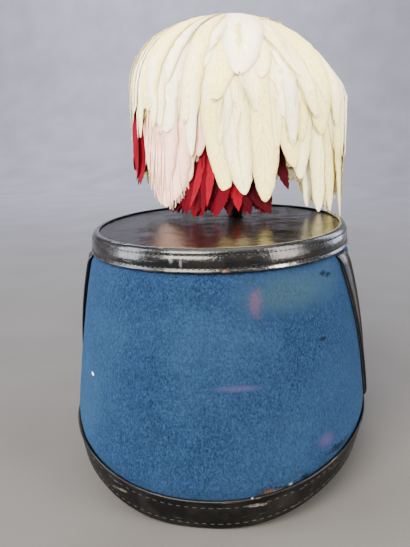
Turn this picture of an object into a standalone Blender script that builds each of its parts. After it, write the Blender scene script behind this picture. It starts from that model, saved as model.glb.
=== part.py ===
"""A parade shako: a stiff cloth-covered body with leather bands, side chevrons, a peak and a feather plume.

Lengths are metres. The hat's own frame has +Y towards the front, +Z up through the crown, and its origin
in the middle of the rim, level with the rim's edge at the sides. The finished hat rests on the floor as it
would by itself, on the back of its rim and on the edge of its peak.
"""

import math
from collections import namedtuple

import bmesh
import bpy
from mathutils import Matrix, Vector

# Rim: the lower edge of the base band, measured over the leather
RIM_HALF_WIDTH = 0.0853
RIM_HALF_LENGTH = 0.0982
RIM_BACK_DIP = 0.0164
RIM_FRONT_DIP = 0.0060

# Base band
BASE_BAND_HEIGHT = 0.0150
BASE_BAND_BACK_DIP = 0.0130
BASE_BAND_FRONT_DIP = 0.0050
BASE_BAND_WIDTH_FLARE = 0.0042
BASE_BAND_LENGTH_FLARE = 0.0024
RIM_TURN_UNDER = 0.0045
RIM_ROUNDING = 0.0012

# Body and crown
BODY_HEIGHT = 0.1221
CROWN_HALF_WIDTH = 0.0768
CROWN_HALF_LENGTH = 0.0884
CROWN_SHIFT = 0.0124
CROWN_SLOPE = math.radians(-1.9)
CROWN_THICKNESS = 0.0020
WALL_THICKNESS = 0.0024
WALL_BULGE = 0.0014
CLOTH_PUFF = 0.0015
PUFF_RUN = 0.0060

# Top band
TOP_BAND_HEIGHT = 0.0118
TOP_BAND_WIDTH_FLARE = 0.0008
TOP_BAND_LENGTH_FLARE = 0.0008
TOP_BAND_FOLD = 0.0034
TOP_BAND_ROUNDING = 0.0022

# Leather and clearances
LEATHER = 0.0014
GAP = 0.0003

# Side chevrons, measured along the cloth
CHEVRON_TOP_REACH = 0.0430
CHEVRON_FOOT_REACH = 0.0090
CHEVRON_STRIP = 0.0160
CHEVRON_THICKNESS = 0.0012
CHEVRON_END_GAP = 0.0009

# Peak
PEAK_REACH = 0.0450
PEAK_DROP = 0.0240
PEAK_HALF_ANGLE = math.radians(56)
PEAK_THICKNESS = 0.0024
PEAK_END = 0.0030
PEAK_SEAT = 0.0045

# Plume
PLUME_HEIGHT = 0.1300
PLUME_OVERHANG = 0.0014
PLUME_HALF_DEPTH = 0.0680
PLUME_SETBACK = 0.0090
PLUME_SIDE_SHIFT = 0.0040
PLUME_WAIST = 0.0730
PLUME_SKIN = 0.0055
PLUME_HUB_RADIUS = 0.0090
LOCK_THICKNESS = 0.0066
SOCKET_RADIUS = 0.0065
SOCKET_LENGTH = 0.0380
SOCKET_RISE = 0.0110
TRUNK_RADIUS = 0.0080
TRUNK_SHARE = 0.70

# How finely the round pieces are divided
AROUND = 48
BELL_AROUND = 28
LOCK_SIDES = 6
MERGE = 1e-5

RIM_DIP_POWER = 4.5
BAND_DIP_POWER = 3.0

Hoop = namedtuple("Hoop", "half_width half_length shift height back_dip front_dip dip_power slope squareness")
Row = namedtuple("Row", "level out")
Lock = namedtuple("Lock", "azimuth spread tip foot width")
Layer = namedtuple("Layer", "crest inset thickness first_turn flare")

# The leather's outer surface passes through four hoops, numbered as levels 0 to 3 from the rim up
LEAN = CROWN_SHIFT / BODY_HEIGHT
RIM_HOOP = Hoop(
    half_width=RIM_HALF_WIDTH,
    half_length=RIM_HALF_LENGTH,
    shift=0.0,
    height=0.0,
    back_dip=RIM_BACK_DIP,
    front_dip=RIM_FRONT_DIP,
    dip_power=RIM_DIP_POWER,
    slope=0.0,
    squareness=2.40,
)
BAND_HOOP = Hoop(
    half_width=RIM_HALF_WIDTH + BASE_BAND_WIDTH_FLARE,
    half_length=RIM_HALF_LENGTH + BASE_BAND_LENGTH_FLARE,
    shift=0.0,
    height=BASE_BAND_HEIGHT,
    back_dip=BASE_BAND_BACK_DIP,
    front_dip=BASE_BAND_FRONT_DIP,
    dip_power=BAND_DIP_POWER,
    slope=0.0,
    squareness=2.20,
)
CROWN_HOOP = Hoop(
    half_width=CROWN_HALF_WIDTH,
    half_length=CROWN_HALF_LENGTH,
    shift=CROWN_SHIFT,
    height=BODY_HEIGHT,
    back_dip=0.0,
    front_dip=0.0,
    dip_power=BAND_DIP_POWER,
    slope=CROWN_SLOPE,
    squareness=2.08,
)
CAP_HOOP = CROWN_HOOP._replace(
    half_width=CROWN_HALF_WIDTH + TOP_BAND_WIDTH_FLARE,
    half_length=CROWN_HALF_LENGTH + TOP_BAND_LENGTH_FLARE,
    shift=CROWN_SHIFT - LEAN * TOP_BAND_HEIGHT,
    height=BODY_HEIGHT - TOP_BAND_HEIGHT,
)
HOOPS = (RIM_HOOP, BAND_HOOP, CAP_HOOP, CROWN_HOOP)
RIM_LEVEL, BAND_LEVEL, CAP_LEVEL, CROWN_LEVEL = range(4)

# One row for each lock of feathers. Azimuth runs round the plume in degrees from the hat's back, with +90 at
# the hat's right. Spread is the lock's widest reach as a share of the plume's, tip its lowest point above the
# crown as a share of the plume's height, foot its reach at the tip, and width its width as a share of the
# plume's half depth.
WHITE_LOCKS = (
    Lock(-176, 1.00, -0.02, 0.97, 0.38),
    Lock(-157, 0.98, 0.01, 0.95, 0.36),
    Lock(-138, 1.00, -0.03, 0.98, 0.38),
    Lock(-118, 0.98, 0.02, 0.96, 0.38),
    Lock(-98, 1.00, 0.10, 0.98, 0.38),
    Lock(-80, 1.00, 0.20, 1.00, 0.38),
    Lock(-63, 1.00, 0.25, 0.99, 0.36),
    Lock(-47, 0.99, 0.08, 0.98, 0.36),
    Lock(-32, 1.00, 0.05, 0.99, 0.36),
    Lock(-19, 0.98, 0.06, 0.99, 0.30),
    Lock(4, 0.99, 0.12, 1.01, 0.34),
    Lock(19, 1.00, 0.09, 1.01, 0.32),
    Lock(40, 1.00, 0.06, 1.02, 0.34),
    Lock(54, 1.00, 0.03, 1.02, 0.34),
    Lock(68, 1.00, -0.04, 1.02, 0.32),
    Lock(80, 1.00, -0.09, 1.02, 0.30),
    Lock(97, 1.00, 0.00, 0.99, 0.38),
    Lock(116, 0.99, 0.02, 0.96, 0.38),
    Lock(135, 1.00, -0.03, 0.98, 0.38),
    Lock(154, 0.98, 0.01, 0.95, 0.36),
)
RED_LOCKS = (
    Lock(-172, 0.72, 0.02, 0.78, 0.38),
    Lock(-128, 0.72, 0.03, 0.78, 0.38),
    Lock(-92, 0.72, 0.10, 0.78, 0.34),
    Lock(-62, 0.74, 0.14, 0.86, 0.24),
    Lock(-27, 0.70, 0.01, 0.98, 0.30),
    Lock(-14, 0.70, 0.01, 1.06, 0.26),
    Lock(-2, 0.70, 0.01, 1.14, 0.26),
    Lock(10, 0.70, 0.01, 1.10, 0.28),
    Lock(29, 0.72, 0.08, 0.88, 0.22),
    Lock(76, 0.72, 0.03, 0.78, 0.34),
    Lock(130, 0.72, 0.02, 0.78, 0.38),
)


def crown_height(y):
    """Height of the crown's upper face at y."""
    return BODY_HEIGHT + (y - CROWN_SHIFT) * math.tan(CROWN_SLOPE)


def hoop_point(hoop, angle, out):
    """The point of a hoop at an angle from +X, moved outwards in plan, with the slope and dips of its height."""
    across, along = math.cos(angle), math.sin(angle)
    n = hoop.squareness
    reach = (abs(across / hoop.half_width) ** n + abs(along / hoop.half_length) ** n) ** (-1 / n)
    x, y = reach * across, reach * along
    normal = Vector((
        math.copysign(abs(x / hoop.half_width) ** (n - 1), x) / hoop.half_width,
        math.copysign(abs(y / hoop.half_length) ** (n - 1), y) / hoop.half_length,
    )).normalized()
    end_share = abs(y) / hoop.half_length
    dip = (hoop.back_dip if y < 0 else hoop.front_dip) * end_share**hoop.dip_power
    x += normal.x * out
    y += normal.y * out
    return Vector((x, y + hoop.shift, hoop.height + y * math.tan(hoop.slope) - dip))


def on_shell(level, angle, out=0.0):
    """A point on the leather's outer surface, or out from it, at a level between the rim's and the crown's."""
    lower = min(int(level), CROWN_LEVEL - 1)
    share = level - lower
    if lower == BAND_LEVEL:
        out += WALL_BULGE * 4 * share * (1 - share)
    return hoop_point(HOOPS[lower], angle, out).lerp(hoop_point(HOOPS[lower + 1], angle, out), share)


def level_above(level, distance):
    """The level that lies a distance above another, or below it where the distance is negative."""
    span = level if distance > 0 else level - 1
    return level + distance / (HOOPS[span + 1].height - HOOPS[span].height)


def cloth_rows():
    """Rows of the cloth's outer surface: drawn in under each band, and puffed out between the bands."""
    under = -(LEATHER + GAP)
    foot = Row(level_above(RIM_LEVEL, LEATHER + 2 * GAP + RIM_ROUNDING), under)
    rows = [foot, Row(BAND_LEVEL, under)]
    rows.append(Row(level_above(BAND_LEVEL, PUFF_RUN / 2), under + CLOTH_PUFF * 0.8))
    rows.append(Row(level_above(BAND_LEVEL, PUFF_RUN), under + CLOTH_PUFF))
    for share in (0.22, 0.40, 0.58, 0.76):
        rows.append(Row(BAND_LEVEL + share, under + CLOTH_PUFF))
    rows.append(Row(level_above(CAP_LEVEL, -PUFF_RUN), under + CLOTH_PUFF))
    rows.append(Row(level_above(CAP_LEVEL, -PUFF_RUN / 2), under + CLOTH_PUFF * 0.8))
    rows.append(Row(CAP_LEVEL, under))
    rows.append(Row(level_above(CROWN_LEVEL, -(LEATHER + CROWN_THICKNESS + 3 * GAP)), under))
    return rows


def cloth_out(level):
    """How far the cloth's surface lies out from the leather's at a level."""
    rows = cloth_rows()
    for lower, upper in zip(rows, rows[1:]):
        if level <= upper.level:
            share = (level - lower.level) / (upper.level - lower.level)
            return lower.out + (upper.out - lower.out) * share
    return rows[-1].out


def leather(name, colour, roughness):
    """A material for a sub-part, from its sRGB hex colour."""
    channels = [int(colour[i : i + 2], 16) / 255 for i in (0, 2, 4)]
    linear = [c / 12.92 if c <= 0.04045 else ((c + 0.055) / 1.055) ** 2.4 for c in channels]
    material = bpy.data.materials.new(name)
    material.use_nodes = True
    shader = material.node_tree.nodes["Principled BSDF"]
    shader.inputs["Base Color"].default_value = (*linear, 1.0)
    shader.inputs["Roughness"].default_value = roughness
    material.diffuse_color = (*linear, 1.0)
    return material


def sheets(name, columns, rows, places, merge=MERGE):
    """An object of one grid for each place function, which puts the grid's corners by their shares u and v."""
    bm = bmesh.new()
    for place in places:
        grid = bmesh.ops.create_grid(bm, x_segments=columns, y_segments=rows, size=0.5)
        for vert in grid["verts"]:
            vert.co = place(vert.co.x + 0.5, vert.co.y + 0.5)
    bmesh.ops.remove_doubles(bm, verts=bm.verts, dist=merge)
    mesh = bpy.data.meshes.new(name)
    bm.to_mesh(mesh)
    bm.free()
    mesh.shade_smooth()
    mesh.set_sharp_from_angle(angle=math.radians(40))
    piece = bpy.data.objects.new(name, mesh)
    bpy.context.scene.collection.objects.link(piece)
    return piece


def thicken(piece, thickness, offset=-1.0):
    """Gives a sheet its wall, inwards for an offset of -1 and outwards for 1."""
    wall = piece.modifiers.new("Wall", "SOLIDIFY")
    wall.thickness = thickness
    wall.offset = offset
    wall.use_even_offset = True
    return piece


def hoop_piece(name, rows, thickness):
    """A closed band round the hat, lofted through rows of the shell and thickened inwards."""

    def place(u, v):
        row = rows[round(v * (len(rows) - 1))]
        return on_shell(row.level, u * math.tau, row.out)

    return thicken(sheets(name, AROUND, len(rows) - 1, [place]), thickness)


def body_wall():
    return hoop_piece("body_wall", cloth_rows(), WALL_THICKNESS)


def base_band():
    """Up the outside from the leather that is turned under the rim."""
    rows = [
        Row(RIM_LEVEL, -RIM_TURN_UNDER),
        Row(RIM_LEVEL, -RIM_ROUNDING),
        Row(level_above(RIM_LEVEL, RIM_ROUNDING * 0.3), -RIM_ROUNDING * 0.3),
        Row(level_above(RIM_LEVEL, RIM_ROUNDING), 0.0),
        Row(BAND_LEVEL, 0.0),
    ]
    return hoop_piece("base_band", rows, LEATHER)


def top_band():
    """Up the outside, round the crown's corner and inwards over the edge of the disc."""
    rows = [Row(CAP_LEVEL, 0.0)]
    for degrees in (0, 35, 65, 90):
        turn = math.radians(degrees)
        down = TOP_BAND_ROUNDING * (1 - math.sin(turn))
        rows.append(Row(level_above(CROWN_LEVEL, -down), -TOP_BAND_ROUNDING * (1 - math.cos(turn))))
    rows.append(Row(CROWN_LEVEL, -TOP_BAND_FOLD))
    return hoop_piece("top_band", rows, LEATHER)


def crown_top():
    """The flat disc under the top band's fold."""
    bm = bmesh.new()
    disc = bmesh.ops.create_circle(bm, cap_ends=True, radius=1.0, segments=AROUND)
    for index, vert in enumerate(disc["verts"]):
        point = on_shell(CROWN_LEVEL, index / AROUND * math.tau, -(LEATHER + GAP) - TOP_BAND_ROUNDING * 0.3)
        point.z = crown_height(point.y) - LEATHER - GAP
        vert.co = point
    bmesh.ops.recalc_face_normals(bm, faces=bm.faces)
    mesh = bpy.data.meshes.new("crown_top")
    bm.to_mesh(mesh)
    bm.free()
    piece = bpy.data.objects.new("crown_top", mesh)
    bpy.context.scene.collection.objects.link(piece)
    upwards = mesh.polygons[0].normal.z > 0
    return thicken(piece, CROWN_THICKNESS, -1.0 if upwards else 1.0)


def chevron(name, middle):
    """A V of two leather strips on the cloth, whose inner edges meet above the base band."""
    foot = level_above(BAND_LEVEL, CHEVRON_END_GAP)
    head = level_above(CAP_LEVEL, -CHEVRON_END_GAP)
    reach_gain = (CHEVRON_TOP_REACH - CHEVRON_FOOT_REACH) / (head - foot)
    meeting = foot + max(CHEVRON_STRIP - CHEVRON_FOOT_REACH, 0.0) / reach_gain
    levels = [row.level for row in cloth_rows() if foot < row.level < head] + [foot, head, meeting]
    levels.sort()
    columns = 3

    def arm(side):
        def place(u, v):
            level = levels[round(v * (len(levels) - 1))]
            outer = CHEVRON_FOOT_REACH + reach_gain * (level - foot)
            inner = max(outer - CHEVRON_STRIP, 0.0)
            across = outer + (inner - outer) * u if side < 0 else inner + (outer - inner) * u
            half_width = on_shell(level, 0.0).x
            return on_shell(level, middle + side * across / half_width, cloth_out(level) + GAP)

        return place

    piece = sheets(name, columns, len(levels) - 1, [arm(-1), arm(1)])
    return thicken(piece, CHEVRON_THICKNESS, 1.0)


def peak():
    """A crescent that slopes forward and down from the front of the base band."""
    seat = level_above(RIM_LEVEL, PEAK_SEAT)
    columns, rows = 20, 5

    def place(u, v):
        side = 2 * u - 1
        angle = math.pi / 2 + side * PEAK_HALF_ANGLE
        root = on_shell(seat, angle, GAP)
        outward = (on_shell(seat, angle, GAP + 0.01) - root).normalized()
        outward = Vector((outward.x * 0.5, outward.y + 0.5, 0.0)).normalized()
        fullness = max(1 - abs(side) ** 2.6, 0.0) ** 0.8
        reach = PEAK_END + (PEAK_REACH - PEAK_END) * fullness
        return root + outward * reach * v - Vector((0.0, 0.0, PEAK_DROP * reach / PEAK_REACH * v**1.25))

    return thicken(sheets("peak", columns, rows, [place]), PEAK_THICKNESS)


def plume_middle():
    """The middle of the plume in plan, level with the crown's upper face there."""
    y = CROWN_SHIFT + CROWN_HALF_LENGTH - PLUME_SETBACK
    return Vector((PLUME_SIDE_SHIFT, y, BODY_HEIGHT))


def socket_middle():
    """The middle of the socket's upper end, just in front of the top band and of the cloth under it."""
    below_band = SOCKET_LENGTH - SOCKET_RISE - TOP_BAND_HEIGHT
    levels = (CROWN_LEVEL, CAP_LEVEL, level_above(CAP_LEVEL, -max(below_band, GAP)))
    front = max(on_shell(level, math.pi / 2).y for level in levels)
    return Vector((0.0, front + SOCKET_RADIUS + GAP, BODY_HEIGHT + SOCKET_RISE))


def dome_squareness(azimuth):
    """The plume's dome is full on the hat's left and sloping on its right."""
    return 2.1 - 0.45 * math.sin(azimuth)


def dome_point(azimuth, turn, spread, layer):
    """A point on a layer's dome, from its crest at a turn of 0 down to its waist at a quarter turn."""
    power = 2 / dome_squareness(azimuth)
    out = math.sin(turn) ** power * spread
    return plume_middle() + Vector((
        (CROWN_HALF_WIDTH + PLUME_OVERHANG - layer.inset) * out * math.sin(azimuth),
        -(PLUME_HALF_DEPTH - layer.inset) * out * math.cos(azimuth),
        PLUME_WAIST + (layer.crest - layer.inset - PLUME_WAIST) * math.cos(turn) ** power,
    ))


def lock_path(row, layer):
    """Points down a lock of feathers: over the dome, then hanging from its waist to its tip."""
    azimuth = math.radians(row.azimuth)
    turns = (layer.first_turn, 34, 56, 76, 90)
    path = [dome_point(azimuth, math.radians(turn), row.spread, layer) for turn in turns]
    waist = path[-1]
    tip = dome_point(azimuth, math.pi / 2, row.foot, layer)
    tip.z = BODY_HEIGHT + 2 * GAP + row.tip * PLUME_HEIGHT
    for share in (0.4, 0.75, 0.93, 1.0):
        point = waist.lerp(tip, share)
        point.xy = waist.xy.lerp(tip.xy, share**layer.flare)
        path.append(point)
    return path


def lock(name, row, layer):
    """One lock: a flattened tapering tube along its path, round at its tip."""
    path = lock_path(row, layer)
    azimuth = math.radians(row.azimuth)
    across = Vector((math.cos(azimuth), math.sin(azimuth), 0.0))
    half_width = row.width * PLUME_HALF_DEPTH / 2
    fullness = (0.0, 0.45, 0.8, 0.95, 1.0, 1.0, 0.95, 0.65, 0.0)

    def place(u, v):
        index = round(v * (len(path) - 1))
        before, after = path[max(index - 1, 0)], path[min(index + 1, len(path) - 1)]
        inward = across.cross(after - before).normalized()
        turn = u * math.tau
        wide = across * math.cos(turn) * half_width * fullness[index]
        deep = inward * math.sin(turn) * layer.thickness / 2 * min(1.0, fullness[index] * 1.4)
        return path[index] + wide - deep

    return sheets(name, LOCK_SIDES, len(path) - 1, [place])


def post(name, foot, head, radius, sides=16):
    """A straight round post with level ends."""
    bm = bmesh.new()
    ends = bmesh.ops.create_circle(bm, cap_ends=True, radius=radius, segments=sides)
    bmesh.ops.translate(bm, verts=ends["verts"], vec=foot)
    if bm.faces[:][0].normal.z < 0:
        bmesh.ops.reverse_faces(bm, faces=bm.faces)
    top = bmesh.ops.extrude_face_region(bm, geom=bm.faces[:], use_keep_orig=True)
    moved = [item for item in top["geom"] if isinstance(item, bmesh.types.BMVert)]
    bmesh.ops.translate(bm, verts=moved, vec=head - foot)
    bmesh.ops.recalc_face_normals(bm, faces=bm.faces)
    mesh = bpy.data.meshes.new(name)
    bm.to_mesh(mesh)
    bm.free()
    mesh.shade_smooth()
    mesh.set_sharp_from_angle(angle=math.radians(40))
    piece = bpy.data.objects.new(name, mesh)
    bpy.context.scene.collection.objects.link(piece)
    return piece


def fuse(piece, others):
    """Joins helper shapes to a piece with one Boolean union."""
    group = bpy.data.collections.new(piece.name + "_shapes")
    for other in others:
        group.objects.link(other)
        other.hide_render = True
        other.display_type = "WIRE"
    union = piece.modifiers.new("Fuse", "BOOLEAN")
    union.operation = "UNION"
    union.operand_type = "COLLECTION"
    union.collection = group
    return piece


def trunk_head():
    """Where the red layer's trunk ends and the white layer's hub begins."""
    middle = plume_middle()
    return Vector((middle.x, middle.y, BODY_HEIGHT + PLUME_HEIGHT * TRUNK_SHARE))


def plume_socket():
    head = socket_middle()
    return post("plume_socket", head - Vector((0.0, 0.0, SOCKET_LENGTH)), head, SOCKET_RADIUS)


def plume_red():
    foot = socket_middle() + Vector((0.0, 0.0, GAP))
    trunk = post("plume_red", foot, trunk_head(), TRUNK_RADIUS)
    layer = Layer(PLUME_HEIGHT * TRUNK_SHARE, PLUME_SKIN, LOCK_THICKNESS * 0.7, 0, 3.2)
    return fuse(trunk, [lock(f"red_lock_{i}", row, layer) for i, row in enumerate(RED_LOCKS)])


def plume_white():
    """A thin dome with a hub in its middle and the locks laid over it."""
    skin = Layer(PLUME_HEIGHT, LOCK_THICKNESS * 0.25, PLUME_SKIN, 0, 1.0)
    outer = Layer(PLUME_HEIGHT, LOCK_THICKNESS / 2, LOCK_THICKNESS, 12, 1.6)
    turns = (90, 76, 62, 46, 30, 14, 0)
    drop = Vector((0.0, 0.0, PLUME_WAIST * 0.42))

    def place(u, v):
        index = round(v * len(turns))
        if index == 0:
            return dome_point(u * math.tau, math.pi / 2, 1.0, skin) - drop
        return dome_point(u * math.tau, math.radians(turns[index - 1]), 1.0, skin)

    bell = thicken(sheets("plume_white", BELL_AROUND, len(turns), [place]), PLUME_SKIN)
    hub_foot = trunk_head() + Vector((0.0, 0.0, GAP))
    hub_head = plume_middle() + Vector((0.0, 0.0, skin.crest - skin.inset - PLUME_SKIN / 2))
    hub = post("white_hub", hub_foot, hub_head, PLUME_HUB_RADIUS)
    return fuse(bell, [hub, *(lock(f"white_lock_{i}", row, outer) for i, row in enumerate(WHITE_LOCKS))])


def rest(pieces):
    """Turns the hat about X until the back of its rim and its peak's edge touch the floor, below its middle."""
    bpy.context.view_layer.update()
    graph = bpy.context.evaluated_depsgraph_get()
    points = []
    for piece in pieces:
        points += [vert.co.copy() for vert in piece.evaluated_get(graph).to_mesh().vertices]

    def lean(angle):
        turned = [(math.sin(angle) * p.y + math.cos(angle) * p.z, p.y) for p in points]
        back = min(z for z, y in turned if y < 0)
        front = min(z for z, y in turned if y > 0)
        return back - front, min(back, front)

    low, high = math.radians(-20), math.radians(30)
    for _ in range(40):
        middle = (low + high) / 2
        if lean(middle)[0] > 0:
            low = middle
        else:
            high = middle
    turn = Matrix.Rotation(low, 4, "X")
    corners = [turn @ p for p in points]
    middle = [(min(c[axis] for c in corners) + max(c[axis] for c in corners)) / 2 for axis in (0, 1)]
    stand = bpy.data.objects.new("hat_at_rest", None)
    bpy.context.scene.collection.objects.link(stand)
    stand.matrix_world = Matrix.Translation((-middle[0], -middle[1], -lean(low)[1])) @ turn
    return stand


def main():
    for old in list(bpy.data.objects):
        bpy.data.objects.remove(old)
    cloth = leather("blue_wool_cloth", "3F74A6", 0.95)
    patent = leather("black_patent_leather", "1C1B1E", 0.22)
    black = leather("black_leather", "1B1A19", 0.45)
    red = leather("red_feathers", "B3182A", 0.75)
    white = leather("white_feathers", "EFEBDA", 0.80)
    pieces = {
        body_wall(): cloth,
        base_band(): black,
        top_band(): patent,
        crown_top(): patent,
        chevron("chevron_right", 0.0): black,
        chevron("chevron_left", math.pi): black,
        peak(): black,
        plume_socket(): black,
        plume_red(): red,
        plume_white(): white,
    }
    for piece, material in pieces.items():
        piece.data.materials.append(material)
    stand = rest(list(pieces))
    for thing in bpy.data.objects:
        if thing.type == "MESH":
            thing.parent = stand


main()
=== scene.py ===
"""The parade shako's looks: felted wool body, leather bands, stitched chevrons, peak and feather plume.

Lengths are metres. Every piece is made in the hat's own frame, which has +Y towards the front, +Z up through
the crown and its origin in the middle of the rim, and is then leaned back onto the floor, as the hat rests.
"""

import math
import random
from collections import namedtuple

import bmesh
import bpy
from mathutils import Matrix, Vector, noise


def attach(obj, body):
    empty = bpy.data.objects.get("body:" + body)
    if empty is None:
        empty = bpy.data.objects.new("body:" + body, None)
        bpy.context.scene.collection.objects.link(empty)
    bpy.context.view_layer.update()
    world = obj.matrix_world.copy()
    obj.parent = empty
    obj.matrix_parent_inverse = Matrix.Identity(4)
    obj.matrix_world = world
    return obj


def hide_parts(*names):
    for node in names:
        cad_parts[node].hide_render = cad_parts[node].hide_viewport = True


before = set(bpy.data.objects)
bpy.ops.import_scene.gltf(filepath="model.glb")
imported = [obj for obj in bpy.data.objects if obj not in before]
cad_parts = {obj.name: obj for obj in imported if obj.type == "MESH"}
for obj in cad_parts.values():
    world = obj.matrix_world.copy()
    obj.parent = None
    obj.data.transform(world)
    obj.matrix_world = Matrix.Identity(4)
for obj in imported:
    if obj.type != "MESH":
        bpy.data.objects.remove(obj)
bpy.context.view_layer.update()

# How the hat rests: the lean that its peak gives it, and its place on the floor
REST_LEAN = math.radians(2.0893)
REST_PLACE = Vector((0.0, -0.026314, 0.019925))
REST = Matrix.Translation(REST_PLACE) @ Matrix.Rotation(REST_LEAN, 4, "X")

# The photograph's frame and viewpoint, round a point inside the body
IMAGE_HEIGHT = 547
FOCAL_PIXELS = 560.0
VIEW_TARGET = Vector((-0.0088, 0.0, 0.0909))
VIEW_DISTANCE = 0.3895
VIEW_HEIGHT_ANGLE = math.radians(30.4)
VIEW_SIDE_ANGLE = math.radians(8.0)
VIEW_ROLL = math.radians(-2.2)
VIEW_DROP = 0.0100

# The shell's leather surface, as hoops from the rim up
Hoop = namedtuple("Hoop", "half_width half_length shift height back_dip front_dip dip_power slope squareness")
CROWN_SHIFT = 0.0124
BODY_HEIGHT = 0.1221
TOP_BAND_HEIGHT = 0.0118
CROWN_SLOPE = math.radians(-1.9)
RIM_HOOP = Hoop(0.0853, 0.0982, 0.0, 0.0, 0.0164, 0.0060, 4.5, 0.0, 2.40)
BAND_HOOP = Hoop(0.0895, 0.1006, 0.0, 0.0150, 0.0130, 0.0050, 3.0, 0.0, 2.20)
CROWN_HOOP = Hoop(0.0768, 0.0884, CROWN_SHIFT, BODY_HEIGHT, 0.0, 0.0, 3.0, CROWN_SLOPE, 2.08)
CAP_HOOP = CROWN_HOOP._replace(
    half_width=CROWN_HOOP.half_width + 0.0008,
    half_length=CROWN_HOOP.half_length + 0.0008,
    shift=CROWN_SHIFT * (1 - TOP_BAND_HEIGHT / BODY_HEIGHT),
    height=BODY_HEIGHT - TOP_BAND_HEIGHT,
)
HOOPS = (RIM_HOOP, BAND_HOOP, CAP_HOOP, CROWN_HOOP)
RIM, BAND, CAP, CROWN = range(4)
WALL_BULGE = 0.0014

# Thicknesses and clearances of cloth and leather, and how finely the round pieces are divided
WALL_THICKNESS = 0.0024
CLOTH_PUFF = 0.0015
PUFF_RUN = 0.0060
LEATHER = 0.0014
BAND_LEATHER = LEATHER - 0.0002
CROWN_DISC = 0.0020
GAP = 0.0003
CROWN_INSET = 0.0007
AROUND = 240
CROWN_RINGS = 40
MERGE = 1e-6

# How uneven old cloth and leather are: waves to a metre, and the height of the waves
BROAD_WAVES = 45
FINE_WAVES = 110
CLOTH_WAVE = 0.0003
BASE_WAVE = 0.0001
TOP_WAVE = 0.00012
CROWN_WAVES = 38
CROWN_WAVE = 0.00025

# The cloth between the bands: its rises above a band's edge, where it starts to puff out, and its steps
PUFF_RISES = (0.0, 0.0008, 0.0016, 0.0026, 0.0038, 0.0050, PUFF_RUN)
PUFF_START = -0.0010
CLOTH_STEPS = 30

# Seams: the distance between stitches, the size of a stitch, the share of stitches that is missing, and the
# share by which their lengths vary
Seam = namedtuple("Seam", "pitch length width height")
BASE_SEAM = Seam(0.0042, 0.0030, 0.0006, 0.0004)
FINE_SEAM = Seam(0.0028, 0.0020, 0.0006, 0.0005)
PEAK_SEAM = Seam(0.0030, 0.0022, 0.0006, 0.0005)
MISSING_STITCHES = 0.04
UNEVEN_STITCHES = 0.15
SEAM_STEPS = 2400
# The bands' seams, over the hoop that their part of the band is measured from
BASE_SEAM_LOW = 0.0031
BASE_SEAM_HIGH = -0.0035
TOP_SEAM_LOW = 0.0023
TOP_SEAM_HIGH = -0.0032

# Profiles of the leather bands, from the lower edge up. Each row has the hoop that it is measured from, its
# height above that hoop, and how far it stands out. The small rises are rolled edges, and the dips are where
# a seam pulls in.
Row = namedtuple("Row", "hoop rise out")
BASE_LOWER = (
    (0.0, -0.0045), (0.0, -0.0030), (0.0, -0.0012), (0.0004, -0.0004), (0.0012, 0.0), (0.0024, 0.0001),
    (BASE_SEAM_LOW, -0.0002), (0.0038, 0.0001), (0.0060, 0.0002),
)
BASE_UPPER = (
    (-0.0056, 0.0002), (-0.0042, 0.0001), (BASE_SEAM_HIGH, -0.0002), (-0.0028, 0.0001), (-0.0020, 0.0),
    (-0.0014, -0.0001), (-0.0010, 0.0005), (-0.0003, 0.0007), (0.0003, 0.0004), (0.0004, -0.0005),
)
BASE_ROWS = [Row(RIM, *row) for row in BASE_LOWER] + [Row(BAND, *row) for row in BASE_UPPER]
TOP_LOWER = (
    (0.0002, -0.0005), (0.0, 0.0002), (0.0005, 0.0006), (0.0012, 0.0005), (0.0017, 0.0),
    (TOP_SEAM_LOW, -0.0002), (0.0030, 0.0001), (0.0050, 0.0004), (0.0070, 0.0003),
)
TOP_UPPER = (
    (-0.0040, 0.0001), (TOP_SEAM_HIGH, -0.0002), (-0.0025, 0.0), (-0.0015, -0.0003), (-0.0006, -0.0009),
    (-0.0001, -0.0018), (0.0, -0.0028), (-0.0002, -0.0037), (-0.0008, -0.0039),
)
TOP_ROWS = [Row(CAP, *row) for row in TOP_LOWER] + [Row(CROWN, *row) for row in TOP_UPPER]

# Side chevrons, measured along the cloth
CHEVRON_TOP_REACH = 0.0430
CHEVRON_FOOT_REACH = 0.0090
CHEVRON_STRIP = 0.0160
CHEVRON_THICKNESS = 0.0011
CHEVRON_END_GAP = 0.0009
CHEVRON_END_FADE = 0.012
CHEVRON_LENGTH = 0.100
CHEVRON_STEPS = 60
# The roll on a strip's inner edge fades where the strip is narrower than a share of its full width, and where
# that edge is near the middle of the V
CHEVRON_NARROW = 0.35
CHEVRON_MEETING = 0.0030
# A strip's two seams as shares of its width, the reach of its inner edge where the inner one starts, how far
# the seams end from the bands, and their steps
OUTER_SEAM = 0.21
INNER_SEAM = 0.79
INNER_SEAM_START = 0.004
CHEVRON_SEAM_FOOT = 0.003
CHEVRON_SEAM_HEAD = 0.002
CHEVRON_SEAM_STEPS = 900

# Peak
PEAK_REACH = 0.0450
PEAK_DROP = 0.0240
PEAK_HALF_ANGLE = math.radians(56)
PEAK_THICKNESS = 0.0024
PEAK_END = 0.0030
PEAK_EDGE_INSET = 0.0006
# Powers of the peak's outline in plan, of how its ends round off, and of its fall outwards
PEAK_OUTLINE = 2.6
PEAK_ROUNDING = 0.8
PEAK_FALL = 1.25
PEAK_SEAT = 0.0045
PEAK_BINDING = 0.0013
PEAK_GIRTH = 0.20
PEAK_SEAM_INSET = 0.0042
PEAK_SEAM_STEPS = 1500

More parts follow.
